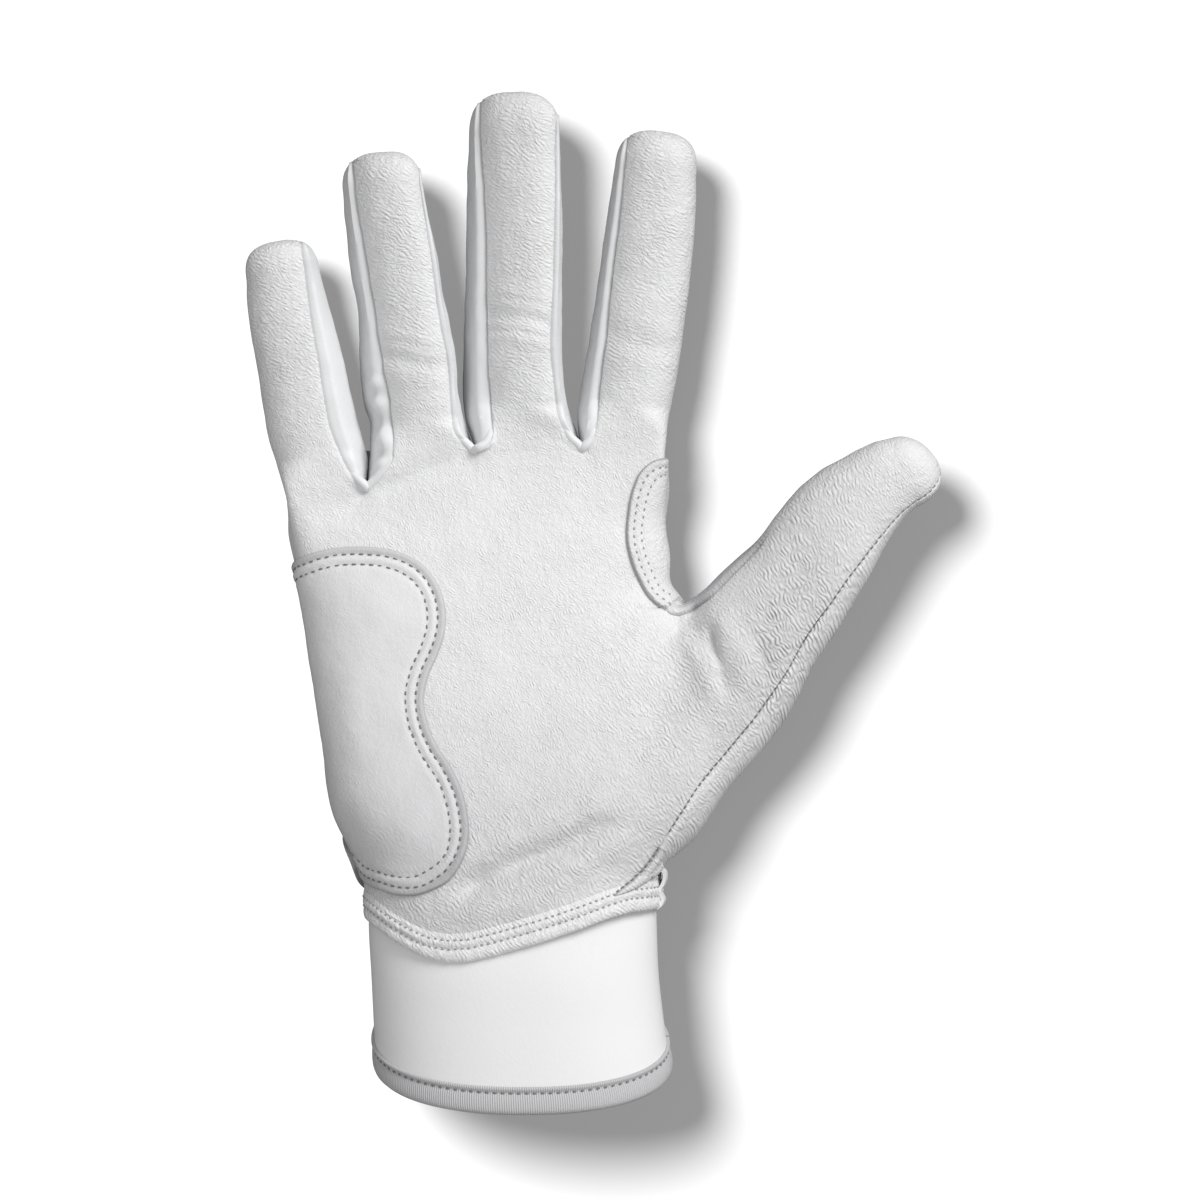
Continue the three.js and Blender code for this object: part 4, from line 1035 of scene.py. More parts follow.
# The crotch patch runs on round the crotch and along the thumb's upper edge as a narrow turned strip.
# Each place: its sewn edge and its outer edge, seen from above; then its section from one to the other.
CROTCH_STRIP = [
    (34.7, 62.4, 36.7, 64.6), (35.9, 61.9, 37.1, 63.9), (37.6, 61.6, 37.8, 63.2), (39.6, 62.0, 38.9, 63.2),
    (40.9, 62.6, 40.4, 63.8), (42.2, 63.3, 42.0, 64.8), (45.4, 65.5, 44.8, 67.0), (49.7, 69.8, 48.8, 71.0),
    (54.0, 74.1, 53.2, 75.0), (57.4, 77.9, 56.9, 78.3), (59.6, 81.2, 59.4, 81.3),
]
CROTCH_SECTION = [
    (-0.2, -0.1), (0, 0.35), (0.18, 0.55), (0.4, 0.1), (0.65, -1.1), (0.85, -2.8), (1.0, -5.5), (1.02, -8.5),
]
CROTCH_WALL = 0.6
CROTCH_SINK = 0.9
places = smooth_line(CROTCH_STRIP, 0.5)
steps = np.arange(len(places))
upper = [rows[grid_normals(rows)[..., 2] > 0.35] for rows in (palm, thumb_front)]
sewn = np.column_stack([places[:, :2], levelled(np.concatenate(upper), places[:, :2], 0.9)])
out = np.column_stack([places[:, 2:] - places[:, :2], 0 * places[:, 0]])
tall = np.clip(np.linalg.norm(out, axis=1) / 0.9, 0.1, 1)[:, None]
sewn[:, 2] -= CROTCH_SINK * (1 - ease(steps / 5))
strip = np.stack([sewn + out * share + np.array((0, 0, rise)) * tall for share, rise in CROTCH_SECTION], 1)
strip = np.array([resampled(line, np.linspace(0, 1, 24)) for line in strip])
inner = edge_distance(strip, (True, False))
middle = ease((steps - 8) / 12) * ease((len(strip) - steps) / 14)
# The strip's own grey, deepest along its middle, and painted shade along its sewn edge.
shade = 0.2 + 0.4 * middle[:, None] + 0.8 * np.exp(-((inner / 0.5) ** 4))
piece = add_sheet("crotch_strip", strip[:, ::-1], CROTCH_WALL, seam=shade[:, ::-1])
blend_thumb(dress(piece, palm_leather, "patch_leather", "thumb_crotch_patch"))

# Heel patch: a second layer of smooth leather with a wavy edge over a foam pad, on the little-finger
# side of the palm. It is sewn down with two rows of grey thread and wraps round to the side seam.
# The edges of the patches are given as the camera sees them, from its distance above its centre.
CENTRE = np.array((19.2, 64.8, 18.0))
DISTANCE = 1600
HEEL_EDGE = [
    (-54.5, 73.2), (-52.8, 74.9), (-48, 76.6), (-42, 77.5), (-36, 77.5), (-30, 76.6), (-25.2, 74.6),
    (-21.6, 71.5), (-19, 67.2), (-17.8, 62.4), (-18, 57.1), (-19.7, 51.6), (-21.8, 46.8), (-23, 40.8),
    (-22.3, 36), (-19.9, 30), (-16.8, 25.2), (-14.4, 20.4), (-12.7, 14.4), (-12.2, 8.4), (-13.4, 2.9),
    (-15.8, -1.2), (-19.7, -4.3), (-24, -6), (-28.8, -6.2), (-33.6, -4.8), (-37.2, -2.4), (-39.1, 0.5),
]
HEEL_STITCHES = (2.0, 4.4)
HEEL_WALL = 1.1
THREAD = 0.5
palm_normal = grid_normals(palm)
PALM_COLUMNS = palm.shape[1] - 1


def palm_at(column, row):
    """Points and normals of the palm sheet at columns and rows, which may lie between two."""
    column, row = np.clip(column, 0, PALM_COLUMNS - 1e-6), np.clip(row, 0, PALM_ROWS - 1e-6)
    i, j = np.floor(column).astype(int), np.floor(row).astype(int)
    u, v = (column - i)[..., None], (row - j)[..., None]
    found = []
    for grid in (palm, palm_normal):
        low = grid[j, i] * (1 - u) + grid[j, i + 1] * u
        high = grid[j + 1, i] * (1 - u) + grid[j + 1, i + 1] * u
        found.append(low * (1 - v) + high * v)
    return found


def seen(points):
    """Where points in millimetres appear at the camera's middle height."""
    return CENTRE[:2] + (points[..., :2] - CENTRE[:2]) * DISTANCE / (DISTANCE + CENTRE[2] - points[..., 2:3])


def palm_place(points):
    """Columns and rows of the palm sheet at points seen by the camera."""
    points = np.asarray(points, float)
    facing = np.argwhere(palm_normal[..., 2] > 0.08)
    flat = seen(palm[facing[:, 0], facing[:, 1]])
    nearest = [facing[np.argmin(((flat - p) ** 2).sum(1))] for p in points]
    row, column = np.array(nearest, float).T
    for _ in range(12):
        here = seen(palm_at(column, row)[0])
        over = seen(palm_at(column + 0.5, row)[0]) - seen(palm_at(column - 0.5, row)[0])
        up = seen(palm_at(column, row + 0.5)[0]) - seen(palm_at(column, row - 0.5)[0])
        gap = points - here
        area = over[:, 0] * up[:, 1] - over[:, 1] * up[:, 0]
        area = np.where(np.abs(area) < 0.02, 0.02 * np.sign(area + 1e-9), area)
        column = column + np.clip((gap[:, 0] * up[:, 1] - gap[:, 1] * up[:, 0]) / area, -1, 1)
        row = row + np.clip((over[:, 0] * gap[:, 1] - over[:, 1] * gap[:, 0]) / area, -1, 1)
    return column, row


# The palm sheet laid flat: at each level, the width round the hand from the sheet's middle column.
flat_levels = np.linspace(palm[..., 1].min(), palm[..., 1].max(), 420)
palm_columns = np.arange(PALM_COLUMNS + 1)
row_at = np.stack([np.interp(flat_levels, palm[:, i, 1], np.arange(PALM_ROWS + 1)) for i in palm_columns], -1)
shape_at = palm_at(np.broadcast_to(palm_columns, row_at.shape), row_at)[0][..., (0, 2)]
width_at = -running_total(np.linalg.norm(np.diff(shape_at, axis=1), axis=2))
width_at += (shape_at[:, PALM_COLUMNS // 2, 0] - width_at[:, PALM_COLUMNS // 2])[:, None]


def flat_places(level):
    """For each level, the flat level below it and the share of the way to the next one."""
    at = np.interp(level, flat_levels, np.arange(len(flat_levels)))
    low = np.minimum(at.astype(int), len(flat_levels) - 2)
    return list(zip(low, at - low))


def between(table, low, share):
    """A table's row between a row and the next one."""
    return table[low] + (table[low + 1] - table[low]) * share


def laid_flat(column, row):
    """Where a column and row of the palm sheet lie when it is unrolled."""
    level = palm_at(column, row)[0][:, 1]
    wide = [np.interp(c, palm_columns, between(width_at, *at)) for c, at in zip(column, flat_places(level))]
    return np.column_stack([wide, level])


def under_flat(flat):
    """The palm sheet's points and normals at unrolled places."""
    column, row = np.zeros(len(flat)), np.zeros(len(flat))
    for n, at in enumerate(flat_places(flat[:, 1])):
        column[n] = np.interp(-flat[n, 0], -between(width_at, *at), palm_columns)
        row[n] = np.interp(column[n], palm_columns, between(row_at, *at))
    return palm_at(column, row)


def side_edge(low, high, column, count):
    """The unrolled line of a column of the palm sheet between two levels."""
    level = np.linspace(low, high, count)
    return np.column_stack([np.interp(level, flat_levels, width_at[:, column]), level])


def offset_line(line, inset):
    """A flat line beside another, towards its left."""
    tangent = np.gradient(line, axis=0)
    side = np.column_stack([-tangent[:, 1], tangent[:, 0]])
    return line + side / np.linalg.norm(side, axis=1, keepdims=True) * inset


EDGE_INSETS = (0.12, 0.3, 0.55, 0.9, 1.35, 1.8)
EDGE_CLEAR = 1.9  # how far from the outline the even points inside it begin


def fill_outline(line, closing, step):
    """Points and triangles inside a sewn edge closed by a plain edge, finest beside the sewn edge."""
    outline = np.concatenate([line, closing])
    low, high = outline.min(0), outline.max(0)
    xs, ys = np.meshgrid(np.arange(low[0], high[0], step), np.arange(low[1], high[1], step))
    grid = np.column_stack([xs.ravel() + (np.arange(xs.size) // xs.shape[1] % 2) * step / 2, ys.ravel()])
    grid = grid[nearest_on(np.concatenate([outline, outline[:1]]), grid)[0] > EDGE_CLEAR]
    beside = [offset_line(line, side * inset) for inset in EDGE_INSETS for side in (1, -1)]
    points = np.concatenate([outline, grid] + beside)
    count = len(outline)
    edges = [(k, (k + 1) % count) for k in range(count)]
    made = geometry.delaunay_2d_cdt([Vector(p) for p in points], edges, [], 1, 1e-4)
    return np.array([tuple(v) for v in made[0]]), [tuple(f) for f in made[2]]


def add_patch(name, line, closing, lift, thickness, step=0.8, border=0.0, outline=0.5):
    """A layer on the palm sheet inside an unrolled outline; lift is its height by distance from the sewn edge
    and from the plain one, border how much greyer its own tone is outside the first row of stitches, and
    outline how much painted shade darkens its edge."""
    flat, faces = fill_outline(line, closing, step)
    inner, side = nearest_on(line, flat)[0], nearest_on(closing, flat)[0]
    points, normals = under_flat(flat)
    points = points + normals * lift(inner, side)[:, None]
    # Its own greyer border, painted shade at its edge, and painted shade over the heel of the hand and the
    # thumb.
    shade = border * ease((2.2 - inner) / 0.6) + outline * np.exp(-((inner / 0.4) ** 4)) + painted_heel_and_thumb_shade(points)
    piece = add_mesh(name, points, faces, None, shade)
    with reworked(piece) as work:
        bmesh.ops.recalc_face_normals(work, faces=work.faces)
        if sum(f.normal.z for f in work.faces) < 0:
            bmesh.ops.reverse_faces(work, faces=work.faces)
    thicken(piece, thickness)
    return piece


def thread_finish(name, dark, light):
    """Twisted thread, in greys from dark to light."""
    finish = Finish(name)
    strands = finish.node("ShaderNodeTexNoise", None, {"Vector": finish.place(), "Scale": 4.0, "Detail": 1.0})
    tone = finish.mix(strands, (dark, dark, dark, 1), (light, light, light, 1))
    return finish.shader(base_color=tone, roughness=0.7, specular_ior_level=0.3)


# Both threads are grey, and their greys are also painted darker to stand in for the shade in the stitch
# holes.
thread = thread_finish("grey thread", 0.15, 0.28)
pale_thread = thread_finish("pale thread", 0.32, 0.46)

# One stitch: shares of its length, how thick it is there and how far its ends dip into the leather.
STITCH = ((-0.5, 0.35, 0.12), (-0.36, 0.9, 0), (0, 1.0, 0), (0.36, 0.9, 0), (0.5, 0.35, 0.12))
STITCH_SIDES = 6
STITCH_LIFT = 0.12
EDGE_ROUND = 0.6


def add_stitches(name, points, normals, pitch, length):
    """A row of thread dashes along a dense line of points."""
    marks = run_along(points)
    places = np.arange(pitch * 0.5, marks[-1], pitch)
    centre = points_at(places, marks, points)
    normal = points_at(places, marks, normals)
    normal /= np.linalg.norm(normal, axis=1, keepdims=True)
    run = points_at(places + 0.3, marks, points) - points_at(places - 0.3, marks, points)
    run -= normal * (run * normal).sum(1, keepdims=True)
    run /= np.linalg.norm(run, axis=1, keepdims=True)
    side = np.cross(normal, run)
    turns = np.radians(np.arange(STITCH_SIDES) * 360 / STITCH_SIDES)
    template = np.array([
        (at * length, math.cos(t) * thick * THREAD / 2, math.sin(t) * thick * THREAD / 2 - dip)
        for at, thick, dip in STITCH for t in turns
    ])
    index = np.arange(len(template)).reshape(len(STITCH), STITCH_SIDES)
    after = np.roll(index, -1, axis=1)
    faces = np.stack([index[:-1], after[:-1], after[1:], index[1:]], -1).reshape(-1, 4).tolist()
    faces += [index[0, ::-1].tolist(), index[-1].tolist()]
    dashes = [c + template @ np.array(axes) for c, *axes in zip(centre, run, side, normal)]
    dash_faces = [tuple(k * len(template) + v for v in f) for k in range(len(centre)) for f in faces]
    return add_mesh(name, np.concatenate(dashes), dash_faces)


def stitch_patch(name, line, insets, lift, node, finish, pitch, length):
    """Rows of stitches inside a patch's sewn edge, riding on the hand; an inset to the right is negative."""
    for number, inset in enumerate(insets, 1):
        points, normals = under_flat(smooth_line(offset_line(line, inset), 0.4))
        points = points + normals * (float(lift(np.array([abs(inset)]))[0]) + STITCH_LIFT)
        piece = add_stitches(f"{name}_stitches_{number}", points, normals, pitch, length)
        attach(dress(piece, finish, "patch_leather", node), "hand")


def sewn_edge(inner, height, stitches, groove, width):
    """The height of a layer by distance from its edge: rounded, and drawn in along its stitches."""
    drawn_in = sum(groove * np.exp(-(((inner - at) / width) ** 2)) for at in stitches)
    return height * rounded(inner / EDGE_ROUND) - drawn_in


def heel_lift(inner, side=FAR):
    """The patch's height: a ridge between its rows of stitches, and a pad that swells inside them."""
    ridge = 0.22 * np.exp(-(((inner - 3.2) / 0.6) ** 2))
    pad = 1.3 * ease((inner - 3.5) / 15) * ease((side - 4) / 16)
    return sewn_edge(inner, 1.0, HEEL_STITCHES, 0.42, 0.42) + ridge + pad


def seen_line(edge, step):
    """A smooth unrolled line on the palm sheet through points seen by the camera."""
    return smooth_line(laid_flat(*palm_place(edge)), step)


patch_leather = leather(
    "patch leather", (0.84, 0.84, 0.85, 1), (0.76, 0.76, 0.77, 1), ripple=0.12, pebble=0.06, roughness=0.48
)
heel_line = seen_line(HEEL_EDGE, 0.6)
heel_side = side_edge(heel_line[-1, 1], heel_line[0, 1], PALM_COLUMNS - 4, 90)
heel = add_patch("heel_pad", heel_line, heel_side, heel_lift, HEEL_WALL, border=0.42, outline=0.3)
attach(dress(heel, patch_leather, "patch_leather", "heel_patch", "heel_foam"), "hand")
heel_insets = [-inset for inset in HEEL_STITCHES]
stitch_patch("heel", heel_line, heel_insets, heel_lift, "heel_patch", thread, pitch=2.1, length=1.15)

# Thumb crotch patch: a crescent of leather over the fold between index finger and thumb, sewn with
# two rows of thread. It wraps round the side of the hand to the back seam.
CROTCH_EDGE = [
    (34.6, 99.0), (32.4, 98.4), (28.8, 95.5), (26.9, 91.2), (25.7, 85.2), (25.4, 79.2), (26.4, 74.4),
    (28.3, 69.6), (31.2, 64.8), (33.2, 63.1), (35.2, 62.1),
]
CROTCH_STITCHES = (1.8, 3.7)
CROTCH_PATCH_WALL = 1.0
CROTCH_SIDE_START = 1.6  # how far above the sewn edge's end the side edge begins


def crotch_lift(inner, side=FAR):
    """The crescent's height by distance from its sewn edge."""
    return sewn_edge(inner, 1.15, CROTCH_STITCHES, 0.35, 0.4)


crotch_line = seen_line(CROTCH_EDGE, 0.6)
crotch_side = side_edge(crotch_line[-1, 1] + CROTCH_SIDE_START, crotch_line[0, 1], 2, 50)
crotch = add_patch(
    "crotch_patch", crotch_line, crotch_side, crotch_lift, CROTCH_PATCH_WALL, 0.7, border=0.12, outline=0.8
)
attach(dress(crotch, palm_leather, "patch_leather", "thumb_crotch_patch"), "hand")
stitch_patch(
    "crotch", crotch_line, CROTCH_STITCHES, crotch_lift, "thumb_crotch_patch", pale_thread,
    pitch=1.9, length=0.7,
)

# End of the thumb's back: its seam runs on over the heel of the thumb to the hem, where the strip
# beyond the stitches is turned back on the palm in a narrow point. Dashes run along the whole seam.
POINT_SEAM = [(33.4, 5.9), (31.7, 3.4), (30, 1.2), (27.7, -1.2), (25.2, -3.5), (23.6, -4.8), (22.1, -6.1)]
POINT_EDGE = [(22.3, -6.6), (24.6, -6.0), (27.2, -4.8), (30, -2.9), (32.0, -1.2), (33.4, 0.3)]
POINT_WALL = 0.9
DASH_PITCH = 1.65
DASH_LENGTH = 0.95
DASH_LIFT = 0.3
POINT_DASH_LIFT = 0.55


def point_lift(inner, side=FAR):
    """The point's height: rounded at its edge, with a swelling beside it."""
    return 1.0 * rounded(inner / 0.5) + 0.5 * np.exp(-(((inner - 1.3) / 0.8) ** 2))


point_line = np.concatenate([seen_line(edge, 0.5) for edge in (POINT_SEAM, POINT_EDGE)])
point_side = np.linspace(point_line[-1], point_line[0], 12)[1:-1]
point = add_patch("thumb_strip_end", point_line, point_side, point_lift, POINT_WALL, 0.6, outline=0.6)
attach(dress(point, palm_leather, "palm_leather", "palm_panel"), "hand")
points, normals = under_flat(seen_line(POINT_SEAM, 0.4))
points = points + normals * POINT_DASH_LIFT
piece = add_stitches("thumb_stitches_end", points, normals, DASH_PITCH, DASH_LENGTH)
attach(dress(piece, thread, "palm_leather", "palm_panel"), "hand")
thumb_normal = grid_normals(thumb_front)
for part, span in (("lower", slice(2, THUMB_CUT_ROW + 1)), ("upper", slice(THUMB_CUT_ROW, -4))):
    normals = thumb_normal[span, 2]
    points = thumb_front[span, 0] + normals * DASH_LIFT
    piece = add_stitches(f"thumb_stitches_{part}", points, normals, DASH_PITCH, DASH_LENGTH)
    blend_thumb(dress(piece, thread, "palm_leather", f"thumb_{part}_front"))

# Palm hem: the lower edge of the palm leather, folded over and sewn with two rows, so that it stands
# a little proud of the cuff beneath it.

# Each point of its section: how far above the palm's lower edge and how far out it is. Each row of
# stitches: the same two for the thread.
HEM = [
    (-0.1, -0.9), (-0.45, -0.5), (-0.6, 0.0), (-0.5, 0.5), (-0.15, 0.9), (0.4, 1.1), (1.1, 1.15), (1.8, 1.0),
    (2.3, 0.7), (2.6, 0.62), (2.9, 0.75), (3.4, 1.0), (3.9, 1.0), (4.3, 0.75), (4.7, 0.45), (5.1, 0.5),
    (5.6, 0.3), (6.2, 0.05),
]
HEM_STITCHES = ((2.6, 0.62), (4.7, 0.5))
HEM_WALL = 0.5
HEM_PUCKER = 0.16
HEM_INSET = 3  # columns of the palm that it leaves free at each end
HEM_FLUSH = 24  # columns over which it comes to lie flat


def hem_row(above, lift):
    """Points and normals along the hem, which lies flatter towards the little-finger side."""
    columns = np.arange(HEM_INSET, PALM_COLUMNS - HEM_INSET, 0.5)
    step = np.linalg.norm(palm[1] - palm[0], axis=1)
    rows = above / np.interp(columns, palm_columns, step)
    points, normals = palm_at(columns, rows)
    if above < 0:
        down = palm_at(columns, np.zeros_like(columns))[0] - palm_at(columns, np.ones_like(columns))[0]
        points = points + down * (-rows)[:, None]
    flush = 0.2 + 0.8 * ease((PALM_COLUMNS - HEM_INSET - columns) / HEM_FLUSH)
    return points + normals * (lift * flush)[:, None], normals


hem = np.array([hem_row(above, lift)[0] for above, lift in HEM])
pucker = swell(hem, 1.6, 5.3) * HEM_PUCKER
hem = hem + grid_normals(hem) * (pucker * ease(np.arange(len(HEM)) / 4)[:, None])[..., None]
hem_band = add_sheet("palm_hem", hem, HEM_WALL)
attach(dress(hem_band, palm_leather, "palm_leather", "palm_hem_band"), "hand")
for number, (above, lift) in enumerate(HEM_STITCHES, 1):
    points, normals = hem_row(above, lift)
    piece = add_stitches(f"hem_stitches_{number}", points + normals * 0.1, normals, pitch=1.6, length=0.7)
    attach(dress(piece, pale_thread, "palm_leather", "palm_hem_band"), "hand")

# Back of the hand: a leather panel from the wrist to the knuckles, and a stretch panel over the
# knuckles that is tucked under it. They are not seen in the photograph.
KNUCKLE_LEVEL = 72
KNUCKLE_TOP = 101
KNUCKLE_WALL = 0.9
KNUCKLE_INSET = 0.9
BACK_HEM = -12


def back_rows(low, high, count, inset=0.0):
    """Rows across the back of the hand between its side seams, so far under the leather's face."""
    rows = []
    for level in np.linspace(low, high, count):
        beside_thumb = THUMB_HEEL[1] < level < THUMB_CROTCH[1]
        seam = max(thumb_root_angle(np.array(level)), SIDE_SEAM) if beside_thumb else SIDE_SEAM
        rows.append(palm_arc(level, 180 + SIDE_SEAM, float(360 - seam), np.linspace(0, 1, 120)))
    rows = np.array(rows)
    return rows - grid_normals(rows) * inset


stretch = leather(
    "stretch fabric", (0.80, 0.80, 0.81, 1), (0.74, 0.74, 0.75, 1), ripple=0.05, pebble=0.1, roughness=0.8
)
back_panel = add_sheet("back_of_hand", back_rows(BACK_HEM, KNUCKLE_LEVEL + 1, 110), LEATHER)
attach(dress(back_panel, palm_leather, "palm_leather", "back_panel"), "hand")
knuckle_rows = back_rows(KNUCKLE_LEVEL, KNUCKLE_TOP, 46, KNUCKLE_INSET)
knuckles = add_sheet("knuckle_stretch", knuckle_rows, KNUCKLE_WALL)
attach(dress(knuckles, stretch, "stretch_fabric", "knuckle_panel"), "hand")

# Cuff: a smooth band of white fabric round the wrist, tucked under the palm's hem and open
# below, in a palm half and a back half sewn together at the sides.

# Each row: level, little-finger edge, thumb edge, depth and height of the middle.
CUFF = [
    (-62, -33.6, 36.9, 42.0, 24.4),
    (-48, -34.2, 36.1, 41.0, 24.4),
    (-36, -34.9, 34.5, 40.2, 24.2),
    (-24, -35.5, 33.2, 39.0, 24.0),
    (-14, -36.1, 32.8, 36.6, 23.4),
    (-4, -36.1, 32.6, 33.0, 22.6),
]
CUFF_TOP = -6
CUFF_WALL = 2.0
MOUTH_LEVEL = -45.8
MOUTH_SLANT = 10.6
CUFF_POWER = 2.25


def cuff_point(angle, above, out=0.0):
    """A point round the cuff, so far above its mouth's edge and so far off its outer face."""
    wide, deep = oval(angle, CUFF_POWER)
    level = MOUTH_LEVEL - MOUTH_SLANT * deep + above
    left, right, depth, height = table_at(CUFF, level)
    x = (left + right) / 2 + wide * ((right - left) / 2 + out)
    return np.stack([x, level, height + deep * (depth / 2 + out)], -1)


def cuff_half(low, high):
    """Rows round half of the cuff, from its slanting mouth to its level top."""
    def ring(angle, share):
        _, deep = oval(angle, CUFF_POWER)
        return cuff_point(angle, share * (CUFF_TOP - MOUTH_LEVEL + MOUTH_SLANT * deep))

    return np.array([
        arc(lambda a: ring(a, share), low, high, np.linspace(0, 1, 110)) for share in np.linspace(0, 1, 60)
    ])


cuff_fabric = leather(
    "cuff fabric", (0.86, 0.86, 0.865, 1), (0.84, 0.84, 0.845, 1), ripple=0.02, pebble=0.02, roughness=0.6
)
for name, node, low, high in (
    ("cuff_front", "cuff_palm_side", -1, 181), ("cuff_rear", "cuff_back_side", 179.5, 360.5)
):
    half = add_sheet(name, cuff_half(low, high), CUFF_WALL)
    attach(dress(half, cuff_fabric, "cuff_fabric", node), "hand")

# Cuff binding: a ribbed grey tape folded over the cuff's mouth, with a narrow welt at its upper edge
# and one row of stitches just below it.

# Each point of its section: how far off the cuff's face and how far above the mouth's edge it is.
BINDING = [
    (-0.1, 6.1), (0.35, 6.3), (0.75, 6.1), (0.85, 5.7), (0.6, 5.3), (0.3, 5.0), (0.25, 4.7), (0.45, 4.3),
    (0.65, 3.7), (0.8, 2.8), (0.85, 1.8), (0.8, 0.9), (0.55, 0.2), (0.0, -0.25), (-0.9, -0.4), (-1.8, -0.2),
    (-2.5, 0.3), (-2.8, 1.2), (-2.85, 2.6), (-2.7, 4.2), (-2.3, 4.6),
]
RIB_PITCH = 0.55
BINDING_STITCHES = (4.75, 0.3)  # how far above the mouth's edge and off the cuff's face
CUFF_AXIS = (1, 24.4)  # across and up


def binding_finish():
    """Grey woven tape with fine ribs across it; its grey is painted lighter on the ribs' crowns and darker in
    the grooves between them, as painted shade of the ribs.
    """
    finish = Finish("binding tape")
    place = finish.place()
    along = finish.node("ShaderNodeSeparateXYZ", None, {0: place})
    ribs = finish.node("ShaderNodeMath", {"operation": "SINE"}, {0: along * (2 * math.pi / RIB_PITCH)})
    weave = finish.node("ShaderNodeTexNoise", None, {"Vector": place, "Scale": 3.0, "Detail": 2.0})
    tone = finish.mix(0.5 + 0.5 * ribs, (0.5, 0.5, 0.51, 1), (0.62, 0.62, 0.63, 1))
    relief = finish.relief(0.06 * ribs + 0.08 * weave)
    return finish.shader(base_color=tone, roughness=0.75, specular_ior_level=0.25, normal=relief)


def cuff_ring(above, out, count):
    """Points round the whole cuff, so far above its mouth's edge and so far off its outer face."""
    return arc(lambda a: cuff_point(a, above, out), 0, 360, np.linspace(0, 1, count))


tape = binding_finish()
tube = np.array([cuff_ring(above, out, 421)[:-1] for out, above in BINDING][::-1])
girth = run_along(tube[8])
rest = np.stack(np.broadcast_arrays(girth[None, :], np.arange(len(tube))[:, None] * 0.6, 0.0), -1)
binding = add_sheet("mouth_binding", tube, 0, rest, closed=True)
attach(dress(binding, tape, "tape", "cuff_binding"), "hand")
points = cuff_ring(*BINDING_STITCHES, 900)
normals = np.column_stack([points[:, 0] - CUFF_AXIS[0], 0 * points[:, 0], points[:, 2] - CUFF_AXIS[1]])
normals /= np.linalg.norm(normals, axis=1, keepdims=True)
piece = add_stitches("binding_stitches", points, normals, pitch=1.9, length=1.0)
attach(dress(piece, thread, "tape", "cuff_binding"), "hand")

# Wrist gusset and strap: a gathered elastic gusset at the back of the wrist, and a leather strap sewn
# to an anchor on the little-finger side. It closes across the back with hooks on a patch of loops.
STRAP_HALF = 12
STRAP_WALL = 1.6
ANCHOR_WALL = 1.8
PAD_HALF = 9
LOOPS_WALL = 1.2
HOOKS_WALL = 0.9
ELASTIC_WALL = 0.9
GATHER_PITCH = 2.6


def wrapped(low, high, levels, lift, columns=60, rows=30, edge=0.8, wave=0.0):
    """Rows round the wrist between two angles, so far off the hand, with softly rounded edges. The first
    angle may change with the level. A wave gathers the rows."""
    across = np.linspace(0, 1, columns)
    along = np.linspace(0, 1, rows)
    grid = np.array([
        palm_arc(level, low(level) if callable(low) else low, high, across)
        for level in np.linspace(*levels, rows)
    ])
    long = np.linalg.norm(np.diff(grid[0], axis=0), axis=1).sum()
    tall = abs(levels[1] - levels[0])
    inner = np.minimum(
        np.minimum(across, 1 - across)[None, :] * long, np.minimum(along, 1 - along)[:, None] * tall
    )
    drop = edge * (1 - rounded(inner / edge)) * 0.7
    ripple = np.sin(along * tall * 2 * math.pi / GATHER_PITCH)
    gather = wave * ripple[:, None] * np.sin(math.pi * across)[None, :]
    grid = grid + grid_normals(grid) * (lift - drop + gather)[..., None]
    grid[..., 2] = np.maximum(grid[..., 2], 0.05)
    return grid


def anchor_edge(level):
    """The anchor's end is a round tongue on the palm's side."""
    return 176 + 32 * min(abs(level - 3) / 9, 1) ** 2


strap_levels, pad_levels = (-STRAP_HALF, STRAP_HALF), (-PAD_HALF, PAD_HALF)
gusset_rows = wrapped(253, 284, (-5.5, 30), lift=0.9, columns=44, rows=110, wave=0.35)
gusset = add_sheet("wrist_elastic", gusset_rows, ELASTIC_WALL)
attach(dress(gusset, stretch, "stretch_fabric", "wrist_gusset"), "hand")
anchor_rows = wrapped(anchor_edge, 213, strap_levels, lift=2.3, columns=40, rows=40)
# Painted shade darkens the anchor towards its tongue, which faces left and down into shade.
anchor_shade = 0.8 * np.exp(-((edge_distance(anchor_rows, (True, False)) / 3) ** 2))
anchor = add_sheet("strap_root", anchor_rows, ANCHOR_WALL, seam=anchor_shade)
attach(dress(anchor, patch_leather, "patch_leather", "strap_anchor"), "hand")
loops = add_sheet("loop_pad", wrapped(252, 302, pad_levels, lift=1.6), LOOPS_WALL)
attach(dress(loops, stretch, "stretch_fabric", "loop_patch"), "hand")
hooks = add_sheet("hook_pad", wrapped(258, 303, pad_levels, lift=2.7), HOOKS_WALL)
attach(dress(hooks, tape, "tape", "hook_patch"), "strap")
strap_rows = wrapped(206, 303, strap_levels, lift=4.5, columns=120, rows=40)
strap = add_sheet("closing_strap", strap_rows, STRAP_WALL)
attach(dress(strap, patch_leather, "patch_leather", "wrist_strap"), "strap")

# Pull tab: a moulded plate of white rubber that carries on the line of the strap's end. Ribs across its
# outer face give the fingers a grip.
TAB_HALF = 9
TAB_THICK = 1.5
RIB_HEIGHT = 0.4
RIB_STRIPS = 13
RIB_ROUND = 0.15


def rubber_finish():
    """White rubber with a fine speckle."""
    finish = Finish("white rubber")
    place = finish.node("ShaderNodeTexCoord", None, None, 3)
    specks = finish.node("ShaderNodeTexNoise", None, {"Vector": place, "Scale": 2500.0, "Detail": 3.0})
    tone = finish.mix(specks, (0.74, 0.74, 0.75, 1), (0.82, 0.82, 0.83, 1))
    return finish.shader(base_color=tone, roughness=0.45, normal=finish.relief(0.03 * specks))


